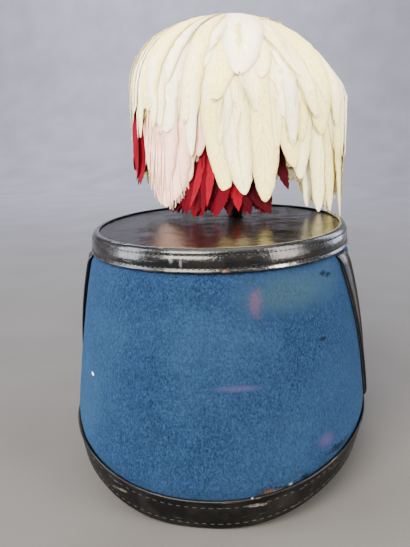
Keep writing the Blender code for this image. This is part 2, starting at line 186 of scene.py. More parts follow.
# Plume
PLUME_HEIGHT = 0.1300
PLUME_HALF_WIDTH = 0.0782
PLUME_HALF_DEPTH = 0.0680
PLUME_MIDDLE = Vector((0.0040, CROWN_SHIFT + CROWN_HOOP.half_length - 0.0090, BODY_HEIGHT))
PLUME_WAIST = 0.0730
DOME_SQUARENESS = 2.06
DOME_LOPSIDED = 0.65
STEM_HEIGHT = PLUME_HEIGHT * 0.70
SOCKET_RADIUS = 0.0065
SOCKET_LENGTH = 0.0380
SOCKET_RISE = 0.0110
STEM_BEFORE_MIDDLE = 0.0165
STEM_SUNK = 0.0006
HOLDER_SIDES = 32
STEM_SIDES = 24
VANE_THICKNESS = 0.0003
# The share of a turn that lays feathers evenly round, however many there are
GOLDEN_TURN = 0.618
# How many feathers, strands and barbs are laid by loops
CREST_FEATHERS = 26
HIDDEN_FEATHERS = 50
LOOSE_FEATHERS = 30
BLUSH_STRANDS = 90
SINGLE_BARBS = 260
RED_RING_FEATHERS = 60
RED_FAN_FEATHERS = 46

# Colours
WHITE = "FDF9DC"
IVORY = "FAF1B8"
CREAM = "F6E898"
# Straw deepens the white feathers towards their roots and edges: partly their own tint, partly painted shade.
STRAW = "E6CC66"
BLUSH = "F9C6BC"
# A lighter red that paints highlights on the red feathers that catch the light.
HIGHLIT_RED = "6A0014"
RED = "48000C"
DARK_RED = "240006"

# Feathers that show singly in the photograph. Azimuth runs round the plume in degrees from the hat's back,
# with +90 at the hat's right, at the root and at the tip. Start is the root's turn down from the crest, tip
# the height of the tip as a share of the plume's, stand how far the feather lies out from the dome, and roll
# the turn about its shaft.
Feather = namedtuple("Feather", "root tip_azimuth start tip width stand roll colour")
# The white feathers' colours are partly their own tones and partly painted light: white where the plume is
# brightest lit, cream where it lies in shade.
SHOWN_FEATHERS = [Feather(*row) for row in (
    (-58, -82, 0, 0.43, 0.016, 0.002, -8, WHITE),
    (-60, -70, 20, 0.38, 0.020, 0.000, 6, IVORY),
    (-64, -78, 50, 0.31, 0.018, 0.001, 4, BLUSH),
    (-66, -84, 50, 0.34, 0.018, 0.001, 0, BLUSH),
    (-58, -68, 50, 0.33, 0.018, 0.000, 4, BLUSH),
    (-42, -49, 50, 0.22, 0.022, 0.000, 8, BLUSH),
    (-44, -58, 14, 0.47, 0.025, 0.003, -10, IVORY),
    (-36, -46, 10, 0.55, 0.024, 0.005, 12, CREAM),
    (-28, -43, 60, 0.10, 0.022, 0.001, -6, BLUSH),
    (-26, -27, 50, 0.11, 0.030, -0.001, 0, IVORY),
    (-30, -35, 50, 0.10, 0.034, -0.0015, 0, WHITE),
    (-32, -43, 50, 0.12, 0.030, -0.001, 0, WHITE),
    (-22, -14, 60, 0.30, 0.015, 0.001, 4, BLUSH),
    (-26, -21, 60, 0.17, 0.022, 0.002, -5, BLUSH),
    (-28, -40, 56, 0.06, 0.026, 0.002, 5, BLUSH),
    (-26, -29, 56, 0.08, 0.028, 0.003, 3, BLUSH),
    (-26, -35, 54, 0.04, 0.030, 0.0035, -4, BLUSH),
    (-32, -30, 26, 0.42, 0.032, 0.006, -6, WHITE),
    (-16, -17, 20, 0.46, 0.023, 0.006, 10, CREAM),
    (-4, -11, 30, 0.50, 0.020, 0.004, -12, IVORY),
    (-30, -34, 14, 0.62, 0.024, 0.006, 8, WHITE),
    (-16, -16, 10, 0.72, 0.022, 0.006, -8, WHITE),
    (-8, -1, 50, 0.12, 0.018, 0.003, -8, CREAM),
    (0, 8, 45, 0.11, 0.020, 0.004, 6, IVORY),
    (6, 18, 42, 0.07, 0.020, 0.004, 10, CREAM),
    (-4, -6, 24, 0.56, 0.021, 0.004, 8, CREAM),
    (8, 5, 4, 0.66, 0.027, 0.010, -6, WHITE),
    (18, 14, 10, 0.50, 0.024, 0.005, -14, IVORY),
    (22, 22, 20, 0.36, 0.018, 0.001, -14, CREAM),
    (20, 33, 16, 0.23, 0.024, 0.003, -8, CREAM),
    (22, 30, 10, 0.46, 0.026, 0.006, 6, WHITE),
    (40, 37, 10, 0.17, 0.020, 0.002, 10, IVORY),
    (44, 50, 40, -0.01, 0.020, 0.001, 5, IVORY),
    (50, 60, 20, -0.02, 0.022, 0.002, -8, CREAM),
    (40, 50, 10, 0.38, 0.024, 0.005, 10, CREAM),
    (50, 66, 14, 0.27, 0.020, 0.004, 12, IVORY),
    (46, 76, 10, -0.08, 0.022, 0.003, -8, CREAM),
    (46, 88, 0, 0.24, 0.017, 0.004, 6, IVORY),
    (60, 92, 10, 0.02, 0.019, 0.001, -6, IVORY),
)]

# The lowest that a feather may hang round the plume: azimuth, and the tip's share of the plume's height
LOWEST_TIPS = (
    (-180, 0.06), (-120, 0.06), (-92, 0.12), (-84, 0.38), (-55, 0.38), (-47, 0.16), (-42, 0.08), (-30, 0.05),
    (-20, 0.15), (-14, 0.30), (-7, 0.30), (-2, 0.17), (4, 0.11), (17, 0.09), (21, 0.14), (25, 0.30),
    (31, 0.30), (35, 0.09), (44, 0.00), (60, -0.02), (76, -0.08), (90, -0.04), (110, 0.02), (150, 0.06),
    (180, 0.06),
)

# Red feathers under them: foot is the reach of their tips as a share of the plume's
RedFeather = namedtuple("RedFeather", "root tip_azimuth start tip width stand foot colour")
# Those in the lighter red carry painted highlights.
SHOWN_RED = [RedFeather(*row) for row in (
    (-76, -82, 80, 0.26, 0.014, -0.0040, 1.00, DARK_RED),
    (-74, -76, 70, 0.24, 0.026, -0.0075, 0.98, RED),
    (-66, -67, 70, 0.20, 0.030, -0.0065, 0.98, RED),
    (-72, -76, 88, 0.20, 0.018, -0.0026, 1.02, HIGHLIT_RED),
    (-67, -70, 80, 0.15, 0.018, -0.0024, 1.02, HIGHLIT_RED),
    (-62, -64, 60, 0.13, 0.018, -0.0024, 1.02, RED),
    (-58, -58, 60, 0.14, 0.016, -0.0022, 1.02, HIGHLIT_RED),
    (-16, -46, 92, 0.020, 0.014, -0.0095, 0.91, DARK_RED),
    (-15, -39, 90, 0.006, 0.016, -0.0085, 0.99, RED),
    (-8, 20, 90, 0.008, 0.016, -0.0080, 1.13, DARK_RED),
    (-12, -15, 72, 0.002, 0.015, -0.0078, 1.22, RED),
    (-10, -5, 70, 0.004, 0.015, -0.0078, 1.21, RED),
    (-13, -16, 62, 0.050, 0.006, -0.0066, 1.22, HIGHLIT_RED),
    (-11, -12, 64, 0.030, 0.007, -0.0070, 1.23, DARK_RED),
    (-9, -8, 60, 0.060, 0.006, -0.0066, 1.25, HIGHLIT_RED),
    (-12, -10, 66, 0.012, 0.005, -0.0062, 1.25, RED),
    (29, 30, 90, 0.12, 0.008, -0.0060, 1.06, DARK_RED),
)]


def crown_height(y):
    """Height of the crown's upper face at y."""
    return BODY_HEIGHT + (y - CROWN_SHIFT) * math.tan(CROWN_SLOPE)


def hoop_point(hoop, angle, out):
    """The point of a hoop at an angle from +X, moved outwards in plan, with its height's slope and dips."""
    across, along = math.cos(angle), math.sin(angle)
    n = hoop.squareness
    reach = (abs(across / hoop.half_width) ** n + abs(along / hoop.half_length) ** n) ** (-1 / n)
    x, y = reach * across, reach * along
    normal = Vector((
        math.copysign(abs(x / hoop.half_width) ** (n - 1), x) / hoop.half_width,
        math.copysign(abs(y / hoop.half_length) ** (n - 1), y) / hoop.half_length,
    )).normalized()
    dip = (hoop.back_dip if y < 0 else hoop.front_dip) * (abs(y) / hoop.half_length) ** hoop.dip_power
    x += normal.x * out
    y += normal.y * out
    return Vector((x, y + hoop.shift, hoop.height + y * math.tan(hoop.slope) - dip))


def on_shell(level, angle, out=0.0):
    """A point on the leather's outer surface, or out from it, at a level from the rim's to the crown's."""
    lower = max(0, min(int(level), CROWN - 1))
    share = level - lower
    if lower == BAND:
        out += WALL_BULGE * 4 * share * (1 - share)
    return hoop_point(HOOPS[lower], angle, out).lerp(hoop_point(HOOPS[lower + 1], angle, out), share)


def level_above(level, distance):
    """The level that lies a distance above another, or below it where the distance is negative."""
    span = min(level, CROWN - 1) if distance >= 0 else level - 1
    return level + distance / (HOOPS[span + 1].height - HOOPS[span].height)


def smooth(low, high, value):
    """Rises smoothly from 0 at low to 1 at high."""
    share = max(0.0, min(1.0, (value - low) / (high - low)))
    return share * share * (3 - 2 * share)


def linear(hexes):
    """The linear colour of an sRGB hex value."""
    channels = [int(hexes[i : i + 2], 16) / 255 for i in (0, 2, 4)]
    return (*(c / 12.92 if c <= 0.04045 else ((c + 0.055) / 1.055) ** 2.4 for c in channels), 1.0)


def place_sheet(bm, columns, rows, place, merge=MERGE):
    """Adds a grid whose corners a function places by their shares u and v, and maps it in metres."""
    grid = bmesh.ops.create_grid(bm, x_segments=columns, y_segments=rows, size=0.5)
    uv = bm.loops.layers.uv.verify()
    shares = {vert: (vert.co.x + 0.5, vert.co.y + 0.5) for vert in grid["verts"]}
    faces = {face for vert in grid["verts"] for face in vert.link_faces}
    for face in faces:
        for loop in face.loops:
            loop[uv].uv = shares[loop.vert]
    for vert, (u, v) in shares.items():
        vert.co = place(u, v)
    if merge:
        bmesh.ops.remove_doubles(bm, verts=grid["verts"], dist=merge)
    return grid["verts"]


def remap(bm, place):
    """Maps a sheet by a function of the shares u and v that its map holds."""
    uv = bm.loops.layers.uv.verify()
    for face in bm.faces:
        for loop in face.loops:
            loop[uv].uv = place(*loop[uv].uv)


def turn_profile(bm, profile, steps):
    """Turns a profile of radii and heights round the upright axis into a closed solid."""
    verts = [bm.verts.new((radius, 0.0, height)) for radius, height in profile]
    edges = [bm.edges.new(pair) for pair in zip(verts, verts[1:])]
    bmesh.ops.spin(
        bm,
        geom=verts + edges,
        cent=(0.0, 0.0, 0.0),
        axis=(0.0, 0.0, 1.0),
        angle=math.tau,
        steps=steps,
        use_merge=True,
    )
    bmesh.ops.remove_doubles(bm, verts=bm.verts, dist=MERGE)
    bm.loops.layers.uv.verify()


def link(name, data):
    """A new object in the scene."""
    made = bpy.data.objects.new(name, data)
    bpy.context.scene.collection.objects.link(made)
    return made


def finish(name, bm, materials, slot, replaced=(), sharp_rims=False):
    """Makes a piece of a mesh in the hat's frame, at rest on the floor, riding with the part."""
    bmesh.ops.recalc_face_normals(bm, faces=bm.faces)
    bm.transform(REST)
    bm.edges.index_update()
    rims = [edge.index for edge in bm.edges if edge.is_boundary] if sharp_rims else []
    mesh = bpy.data.meshes.new(name)
    bm.to_mesh(mesh)
    bm.free()
    mesh.shade_smooth()
    for index in rims:
        mesh.edges[index].use_edge_sharp = True
    piece = link(name, mesh)
    for material in materials:
        mesh.materials.append(material)
    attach(piece, "root")
    if replaced:
        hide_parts(*replaced)
    return piece


def wall(piece, thickness, offset=-1.0, inner=0):
    """Gives a sheet its thickness, with another material for the inner side where one is named."""
    solid = piece.modifiers.new("Wall", "SOLIDIFY")
    solid.thickness = thickness
    solid.offset = offset
    solid.use_even_offset = True
    solid.material_offset = inner
    return piece


def add(tree, kind, inputs=None, output=0, **settings):
    """Adds a node with its settings, gives its inputs their values or links, and returns one output."""
    made = tree.nodes.new("ShaderNode" + kind)
    for name, value in settings.items():
        setattr(made, name, value)
    for name, value in (inputs or {}).items():
        if isinstance(value, bpy.types.NodeSocket):
            tree.links.new(value, made.inputs[name])
        else:
            made.inputs[name].default_value = value
    return made.outputs[output]


def lay_over(tree, colour, hexes, pattern, low, high, strength=1.0):
    """Lays a colour over another where a pattern's value nears high, and none of it where it nears low."""
    share = add(tree, "MapRange", {0: pattern, 1: low, 2: high, 3: 0.0, 4: strength})
    return add(tree, "Mix", {0: share, 6: colour, 7: linear(hexes)}, 2, data_type="RGBA")


def start_material(name, **sockets):
    """A new material, its node tree and its shader, with the shader's plain values set."""
    material = bpy.data.materials.new(name)
    material.use_nodes = True
    shader = material.node_tree.nodes["Principled BSDF"]
    for socket, value in sockets.items():
        shader.inputs[socket.replace("_", " ")].default_value = value
    return material, material.node_tree, shader


# Single marks at the back of the hat: place across and up, reach across and up, colour and strength; one on
# the top band is a painted highlight.
Mark = namedtuple("Mark", "x z reach_x reach_z colour strength")
CLOTH_MARKS = (
    Mark(0.0280, 0.1153, 0.0032, 0.0070, "6A2848", 0.26),
    Mark(0.0200, 0.0750, 0.0110, 0.0016, "4E3A60", 0.28),
    Mark(0.0636, 0.0399, 0.0040, 0.0036, "5C3C62", 0.22),
    Mark(0.0440, 0.1185, 0.0230, 0.0100, "3C544C", 0.22),
    Mark(0.0610, 0.1234, 0.0018, 0.0015, "02040A", 1.00),
    Mark(0.0637, 0.1222, 0.0016, 0.0014, "02040A", 1.00),
    Mark(0.0611, 0.0916, 0.0022, 0.0011, "02040A", 0.95),
    Mark(-0.0625, 0.0695, 0.0009, 0.0009, "F4F8F8", 1.00),
    Mark(0.0345, 0.0206, 0.0055, 0.0036, "120A06", 0.95),
    Mark(0.0430, 0.0212, 0.0070, 0.0026, "160C0A", 0.90),
    Mark(0.0350, 0.0204, 0.0032, 0.0022, "5A4028", 0.75),
    Mark(0.0405, 0.0208, 0.0040, 0.0012, "6A5C58", 0.60),
    Mark(0.0455, 0.0222, 0.0010, 0.0016, "A0A8AC", 0.85),
    Mark(0.0525, 0.0252, 0.0022, 0.0018, "02030A", 1.00),
    Mark(0.0700, 0.0330, 0.0060, 0.0026, "04060A", 0.90),
)
BASE_BAND_MARKS = (
    Mark(0.0285, 0.0154, 0.0050, 0.0009, "5A5450", 0.70),
    Mark(-0.0430, 0.0146, 0.0050, 0.0009, "5A544C", 0.60),
    Mark(0.0267, 0.0204, 0.0007, 0.0006, "8A867C", 0.80),
)
TOP_BAND_MARKS = (
    Mark(-0.0127, 0.1372, 0.0012, 0.0024, "60606A", 0.50),
    Mark(-0.0077, 0.1358, 0.0010, 0.0026, "60606A", 0.50),
    # Painted highlight: a pale glint along the top band's lower edge at the right.
    Mark(0.0400, 0.1318, 0.0060, 0.0006, "C8C8C2", 0.80),
    Mark(-0.0378, 0.1308, 0.0014, 0.0012, "120C08", 0.95),
    Mark(-0.0213, 0.1310, 0.0012, 0.0010, "120C08", 0.95),
    Mark(0.0135, 0.1314, 0.0013, 0.0010, "5A3418", 0.85),
)


def paint_marks(tree, place, colour, ragged, marks):
    """Lays single marks with ragged edges over a colour, on the back of the hat alone."""
    behind = add(tree, "MapRange", {0: add(tree, "SeparateXYZ", {0: place}, "Y"), 1: 0.0, 2: -0.02})
    for mark in marks:
        offset = add(tree, "VectorMath", {0: place, 1: (mark.x, 0.0, mark.z)}, operation="SUBTRACT")
        shares = (1 / mark.reach_x, 0.0, 1 / mark.reach_z)
        scaled = add(tree, "VectorMath", {0: offset, 1: shares}, operation="MULTIPLY")
        reach = add(tree, "VectorMath", {0: scaled}, "Value", operation="LENGTH")
        edge = add(tree, "Math", {0: reach, 1: ragged}, operation="ADD")
        share = add(tree, "MapRange", {0: edge, 1: 1.1, 2: 0.5, 3: 0.0, 4: mark.strength})
        share = add(tree, "Math", {0: share, 1: behind}, operation="MULTIPLY")
        colour = add(tree, "Mix", {0: share, 6: colour, 7: linear(mark.colour)}, 2, data_type="RGBA")
    return colour


def felted_wool():
    """Felted broadcloth: short fibres and no visible weave, so it is matte and mottled, with stained nap."""
    material, tree, shader = start_material(
        "blue_felted_wool",
        Roughness=0.95,
        Specular_IOR_Level=0.06,
        Sheen_Weight=0.09,
        Sheen_Roughness=0.5,
        Sheen_Tint=linear("5CA4E4"),
    )
    place = add(tree, "TexCoord", output="Object")
    # The nap hangs down, so its tufts are drawn out upright. Wool's fibres are 0.03 mm thick, too fine to
    # show, so tufts of them, 1 mm and 2.6 mm across, are drawn.
    hung = add(tree, "VectorMath", {0: place, 1: (1.0, 1.0, 0.65)}, operation="MULTIPLY")
    fibres = add(tree, "TexNoise", {"Vector": hung, "Scale": 1 / 0.0010, "Detail": 4.0, "Roughness": 0.8})
    tufts = add(tree, "TexNoise", {"Vector": hung, "Scale": 1 / 0.0026, "Detail": 5.0, "Roughness": 0.75})
    patches = add(tree, "TexNoise", {"Vector": place, "Scale": 1 / 0.0600, "Detail": 4.0, "Roughness": 0.6})
    colour = lay_over(tree, linear("040A17"), "1E3657", fibres, 0.34, 0.66)
    colour = lay_over(tree, colour, "081527", tufts, 0.42, 0.68, 0.45)
    colour = lay_over(tree, colour, "263F56", patches, 0.42, 0.68, 0.30)
    ragged = add(tree, "MapRange", {0: fibres, 1: 0.3, 2: 0.7, 3: -0.8, 4: 0.8})
    colour = paint_marks(tree, place, colour, ragged, CLOTH_MARKS)
    tree.links.new(colour, shader.inputs["Base Color"])
    normal = add(tree, "Bump", {"Height": tufts, "Distance": 0.0010})
    normal = add(tree, "Bump", {"Height": fibres, "Distance": 0.0005, "Normal": normal})
    tree.links.new(normal, shader.inputs["Normal"])
    return material


def stiffened_felt():
    """Felt stiffened with shellac: near black, dull and a little uneven inside the body."""
    material, tree, shader = start_material("black_stiffened_felt", Roughness=0.8)
    place = add(tree, "TexCoord", output="Object")
    grain = add(tree, "TexNoise", {"Vector": place, "Scale": 1 / 0.0030, "Detail": 4.0, "Roughness": 0.7})
    colour = add(tree, "Mix", {0: grain, 6: linear("161516"), 7: linear("2E2B29")}, 2, data_type="RGBA")
    tree.links.new(colour, shader.inputs["Base Color"])
    normal = add(tree, "Bump", {"Height": grain, "Distance": 0.0006})
    tree.links.new(normal, shader.inputs["Normal"])
    return material


def wear_and_highlight_rows(tree, place, up, worn_and_highlit_rows, wear):
    """Where leather is rubbed, and where a highlight is painted along the base band's upper edge: in patches,
    along rows at heights up its map, each with its reach.
    """
    rubbed = 0.0
    for row, reach in worn_and_highlit_rows:
        offset = add(tree, "Math", {0: up, 1: row}, operation="SUBTRACT")
        distance = add(tree, "Math", {0: offset}, operation="ABSOLUTE")
        rub = add(tree, "MapRange", {0: distance, 1: reach, 2: reach * 0.3})
        rubbed = add(tree, "Math", {0: rub, 1: rubbed}, operation="MAXIMUM")
    patchy = add(tree, "TexNoise", {"Vector": place, "Scale": 1 / 0.0100, "Detail": 4.0, "Roughness": 0.7})
    patchy = add(tree, "MapRange", {0: patchy, 1: 0.62 - wear * 0.35, 2: 0.72 - wear * 0.2})
    return add(tree, "Math", {0: rubbed, 1: patchy}, operation="MULTIPLY")


def worn_leather(name, base, worn, gloss, coat, worn_and_highlit_rows, wear, marks=(), crinkle=0.0):
    """Black finished calf leather: a fine grain under a gloss, paler and browner where its edges are rubbed,
    and along the base band's upper edge that pale row also paints the rolled edge's highlight.

    The worn rows, which on the base band also paint a highlight, are heights up the piece's own map, each
    with its reach, and wear is how much of them is rubbed. Crinkle is the relief of the fine upright creases
    that old varnish gets.
    """
    material, tree, shader = start_material(
        name,
        Specular_IOR_Level=0.1 + 0.3 * coat,
        Coat_Weight=coat,
        Coat_Roughness=0.16,
    )
    place = add(tree, "TexCoord", output="Object")
    mapped = add(tree, "UVMap", output="UV")
    up = add(tree, "SeparateXYZ", {0: mapped}, "Y")
    grain = add(tree, "TexVoronoi", {"Vector": place, "Scale": 1 / 0.0011}, "Distance")
    dents = add(tree, "TexNoise", {"Vector": place, "Scale": 1 / 0.0120, "Detail": 2.0})
    blotches = add(tree, "TexNoise", {"Vector": place, "Scale": 1 / 0.0240, "Detail": 4.0, "Roughness": 0.6})
    fine = add(tree, "TexNoise", {"Vector": place, "Scale": 1 / 0.0028, "Detail": 3.0, "Roughness": 0.7})
    colour = lay_over(tree, linear(base), "2C2724", blotches, 0.45, 0.75, 0.4)
    rubbed = wear_and_highlight_rows(tree, place, up, worn_and_highlit_rows, wear)
    colour = add(tree, "Mix", {0: rubbed, 6: colour, 7: linear(worn)}, 2, data_type="RGBA")
    # Scratches run mostly along the band and creases up it, so their noises are drawn out those ways
    drawn = add(tree, "VectorMath", {0: mapped, 1: (0.12, 1.0, 1.0)}, operation="MULTIPLY")
    scratches = add(tree, "TexNoise", {"Vector": drawn, "Scale": 1 / 0.0014, "Detail": 2.0})
    scratches = add(tree, "MapRange", {0: scratches, 1: 0.66, 2: 0.74})
    colour = add(tree, "Mix", {0: scratches, 6: colour, 7: linear("3E3A36")}, 2, data_type="RGBA")
    ragged = add(tree, "MapRange", {0: fine, 1: 0.3, 2: 0.7, 3: -0.5, 4: 0.5})
    colour = paint_marks(tree, place, colour, ragged, marks)
    tree.links.new(colour, shader.inputs["Base Color"])
    dull = add(tree, "MapRange", {0: fine, 1: 0.4, 2: 0.8, 3: 0.0, 4: 0.2})
    dull = add(tree, "Math", {0: rubbed, 1: dull}, operation="MAXIMUM")
    roughness = add(tree, "MapRange", {0: dull, 1: 0.0, 2: 1.0, 3: gloss, 4: 0.7})
    tree.links.new(roughness, shader.inputs["Roughness"])
    drawn = add(tree, "VectorMath", {0: mapped, 1: (1.0, 0.15, 1.0)}, operation="MULTIPLY")
    creases = add(tree, "TexNoise", {"Vector": drawn, "Scale": 1 / 0.0024, "Detail": 3.0, "Roughness": 0.6})
    normal = add(tree, "Bump", {"Height": dents, "Distance": 0.0009})
    normal = add(tree, "Bump", {"Height": grain, "Distance": 0.00010, "Normal": normal})
    normal = add(tree, "Bump", {"Height": creases, "Distance": crinkle, "Normal": normal})
    normal = add(tree, "Bump", {"Height": scratches, "Distance": -0.00008, "Normal": normal})
    tree.links.new(normal, shader.inputs["Normal"])
    return material


def crown_leather():
    """Patent leather laid flat: dark brown-black varnish, glossy but cockled, with scuffs from storage."""
    material, tree, shader = start_material("black_patent_leather_crown", Specular_IOR_Level=0.035)
    place = add(tree, "TexCoord", output="Object")
    blotches = add(tree, "TexNoise", {"Vector": place, "Scale": 1 / 0.0360, "Detail": 4.0, "Roughness": 0.6})
    fine = add(tree, "TexNoise", {"Vector": place, "Scale": 1 / 0.0024, "Detail": 3.0, "Roughness": 0.7})
    colour = lay_over(tree, linear("070505"), "100C0A", blotches, 0.35, 0.70)
    colour = lay_over(tree, colour, "1C1815", fine, 0.60, 0.80, 0.4)
    tree.links.new(colour, shader.inputs["Base Color"])
    drawn = add(tree, "VectorMath", {0: place, 1: (1.0, 0.15, 1.0)}, operation="MULTIPLY")
    streaks = add(tree, "TexNoise", {"Vector": drawn, "Scale": 1 / 0.0060, "Detail": 3.0, "Roughness": 0.6})
    roughness = add(tree, "MapRange", {0: streaks, 1: 0.3, 2: 0.8, 3: 0.14, 4: 0.26})
    tree.links.new(roughness, shader.inputs["Roughness"])
    normal = add(tree, "Bump", {"Height": blotches, "Distance": 0.0014})
    normal = add(tree, "Bump", {"Height": fine, "Distance": 0.00014, "Normal": normal})
    tree.links.new(normal, shader.inputs["Normal"])
    return material


def linen_thread(name, hexes):
    """Waxed linen thread: twisted, dull and greyed with age."""
    material, tree, shader = start_material(name, Roughness=0.8)
    place = add(tree, "TexCoord", output="Object")
    share = add(tree, "TexNoise", {"Vector": place, "Scale": 1 / 0.0060})
    colour = add(tree, "Mix", {0: share, 6: linear(hexes), 7: linear("080807")}, 2, data_type="RGBA")
    tree.links.new(colour, shader.inputs["Base Color"])
    return material


def barbed_feather(name, shaft, sheen, gloss):
    """Goose feather: soft barbs slant from a pale shaft, so fine slanting streaks and a thin midrib show.

    The map holds metres across from the shaft and metres along from the root. The attribute "tint" holds the
    feather's colour, with painted shade deepening it towards its root and edges, and in its alpha the share
    of the way out to its edge, where the barbs part. Real barbs are 0.3 mm apart, too fine to show, so clumps
    of them 2.2 mm apart and bundles 6 mm apart are drawn.
    """
    material, tree, shader = start_material(
        name,
        Roughness=0.8,
        Specular_IOR_Level=gloss,
        Sheen_Weight=sheen,
        Sheen_Roughness=0.4,
    )
    mapped = add(tree, "UVMap", output="UV")
    across = add(tree, "Math", {0: add(tree, "SeparateXYZ", {0: mapped}, "X")}, operation="ABSOLUTE")
    along = add(tree, "SeparateXYZ", {0: mapped}, "Y")
    slant = add(tree, "Math", {0: across, 1: -2.6, 2: along}, operation="MULTIPLY_ADD")
    far = add(tree, "Math", {0: across, 1: 0.08}, operation="MULTIPLY")
    tint = add(tree, "Attribute", output="Color", attribute_name="tint")
    outwards = add(tree, "Attribute", output="Alpha", attribute_name="tint")
    # The feather's own blue shifts the pattern, so that no two feathers part alike
    blue = add(tree, "SeparateColor", {0: tint}, "Blue")
    shift = add(tree, "Math", {0: blue, 1: 3.0}, operation="MULTIPLY")
    barbs = add(tree, "CombineXYZ", {0: slant, 1: far, 2: shift})
    clumps = add(tree, "TexNoise", {"Vector": barbs, "Scale": 1 / 0.0022, "Detail": 4.0, "Roughness": 0.7})
    bundles = add(tree, "TexNoise", {"Vector": barbs, "Scale": 1 / 0.0060, "Detail": 3.0, "Roughness": 0.6})
    colour = lay_over(tree, tint, shaft, clumps, 0.54, 0.40, 0.42)
    colour = lay_over(tree, colour, shaft, bundles, 0.54, 0.38, 0.30)
    colour = lay_over(tree, colour, shaft, across, 0.0007, 0.0002, 0.16)
    tree.links.new(colour, shader.inputs["Base Color"])
    # Gaps open between the clumps of barbs towards the edge
    spread = add(tree, "MapRange", {0: clumps, 1: 0.3, 2: 0.7, 3: -0.14, 4: 0.14})
    parted = add(tree, "Math", {0: bundles, 1: spread}, operation="ADD")
    limit = add(tree, "MapRange", {0: outwards, 1: 0.60, 2: 1.0, 3: 0.16, 4: 0.55})
    gap = add(tree, "Math", {0: parted, 1: limit}, operation="SUBTRACT")
    cover = add(tree, "MapRange", {0: gap, 1: -0.09, 2: 0.07})
    tree.links.new(cover, shader.inputs["Alpha"])
    normal = add(tree, "Bump", {"Height": clumps, "Distance": 0.00020})
    normal = add(tree, "Bump", {"Height": bundles, "Distance": 0.00030, "Normal": normal})
    tree.links.new(normal, shader.inputs["Normal"])
    return material


def studio_paper(name, hexes):
    """Matte seamless background paper with a faint unevenness."""
    material, tree, shader = start_material(name, Roughness=0.9)
    place = add(tree, "TexCoord", output="Object")
    mottle = add(tree, "TexNoise", {"Vector": place, "Scale": 1 / 0.10, "Detail": 3.0})
    colour = lay_over(tree, linear(hexes), "FFFFFF", mottle, 0.3, 0.7, 0.012)
    tree.links.new(colour, shader.inputs["Base Color"])
    return material


def hoop_piece(name, rows, thickness, wave, materials, slot, replaced):
    """A closed band round the hat, lofted through rows of the shell, thickened inwards, mapped in metres."""
    levels = [(level_above(row.hoop, row.rise), row.out) for row in rows]
    back = [on_shell(level, -math.pi / 2, out) for level, out in levels]
    heights = [0.0]
    for before, after in zip(back, back[1:]):
        heights.append(heights[-1] + (after - before).length)
    last = len(rows) - 1
    hoop = HOOPS[rows[last].hoop]
    girth = 2 * math.pi * (hoop.half_width + hoop.half_length) / 2

    def place(u, v):
        level, out = levels[round(v * last)]
        point = on_shell(level, u * math.tau, out)
        ripple = noise.noise(point * BROAD_WAVES) + 0.5 * noise.noise(point * FINE_WAVES)
        return on_shell(level, u * math.tau, out + ripple * wave)

    bm = bmesh.new()
    place_sheet(bm, AROUND, last, place)
    remap(bm, lambda u, v: (u * girth, heights[round(v * last)]))
    return wall(finish(name, bm, materials, slot, [replaced]), thickness, inner=len(materials) - 1)


def cloth_rows():
    """Rows of the cloth's outer surface: drawn in under each band, and puffed out between the bands."""
    under = -(LEATHER + GAP)
    foot_clearance = LEATHER + 2 * GAP + 0.0012
    head_clearance = LEATHER + CROWN_DISC + 3 * GAP
    puffs = [under + CLOTH_PUFF * smooth(PUFF_START, PUFF_RUN, rise) ** 0.7 for rise in PUFF_RISES]
    rows = [Row(RIM, foot_clearance, under), Row(BAND, -0.0040, under), Row(BAND, -0.0008, under)]
    rows += [Row(BAND, rise, out) for rise, out in zip(PUFF_RISES, puffs)]
    height = HOOPS[CAP].height - HOOPS[BAND].height
    for step in range(1, CLOTH_STEPS):
        rise = PUFF_RUN + (height - 2 * PUFF_RUN) * step / CLOTH_STEPS
        rows.append(Row(BAND, rise, under + CLOTH_PUFF))
    rows += [Row(CAP, -rise, out) for rise, out in zip(reversed(PUFF_RISES), reversed(puffs))]
    rows += [Row(CAP, 0.0008, under), Row(CROWN, -head_clearance, under)]
    return rows


def cloth_out(level):
    """How far the cloth's surface lies out from the leather's at a level."""
    rows = [(level_above(row.hoop, row.rise), row.out) for row in cloth_rows()]
    for (low, start), (high, end) in zip(rows, rows[1:]):
        if level <= high:
            return start + (end - start) * (level - low) / (high - low)
    return rows[-1][1]


def crown_disc(material):
    """The flat crown leather under the top band's fold, a little cockled as old leather is."""

    def place(u, v):
        edge = on_shell(CROWN, u * math.tau, -(LEATHER + GAP) - CROWN_INSET)
        middle = Vector((0.0, CROWN_SHIFT, 0.0))
        point = middle.lerp(Vector((edge.x, edge.y, 0.0)), 1 - v)
        fade = smooth(0.0, 0.10, v)
        cockle = CROWN_WAVE * noise.noise(Vector((point.x * CROWN_WAVES, point.y * CROWN_WAVES, 3.0))) * fade
        point.z = crown_height(point.y) - LEATHER + GAP + cockle
        return point

    bm = bmesh.new()
    place_sheet(bm, AROUND, CROWN_RINGS, place, merge=2e-5)
    piece = finish("crown_leather", bm, [material], "black_patent_leather", ["crown_top"])
    upwards = piece.data.polygons[0].normal.z > 0
    return wall(piece, CROWN_DISC, -1.0 if upwards else 1.0)


# Across a chevron's strip, from its outer edge to its inner edge: share of the width, and relief
CHEVRON_ACROSS = (
    (0.0, 0.0), (0.02, 0.0007), (0.07, 0.0010), (0.11, 0.0008), (0.14, 0.0001), (0.18, 0.0),
    (OUTER_SEAM, -0.0002), (0.25, 0.0), (0.50, 0.0002), (0.75, 0.0), (INNER_SEAM, -0.0002), (0.82, 0.0),
    (0.86, 0.0001), (0.89, 0.0008), (0.93, 0.0010), (0.98, 0.0007), (1.0, 0.0),
)


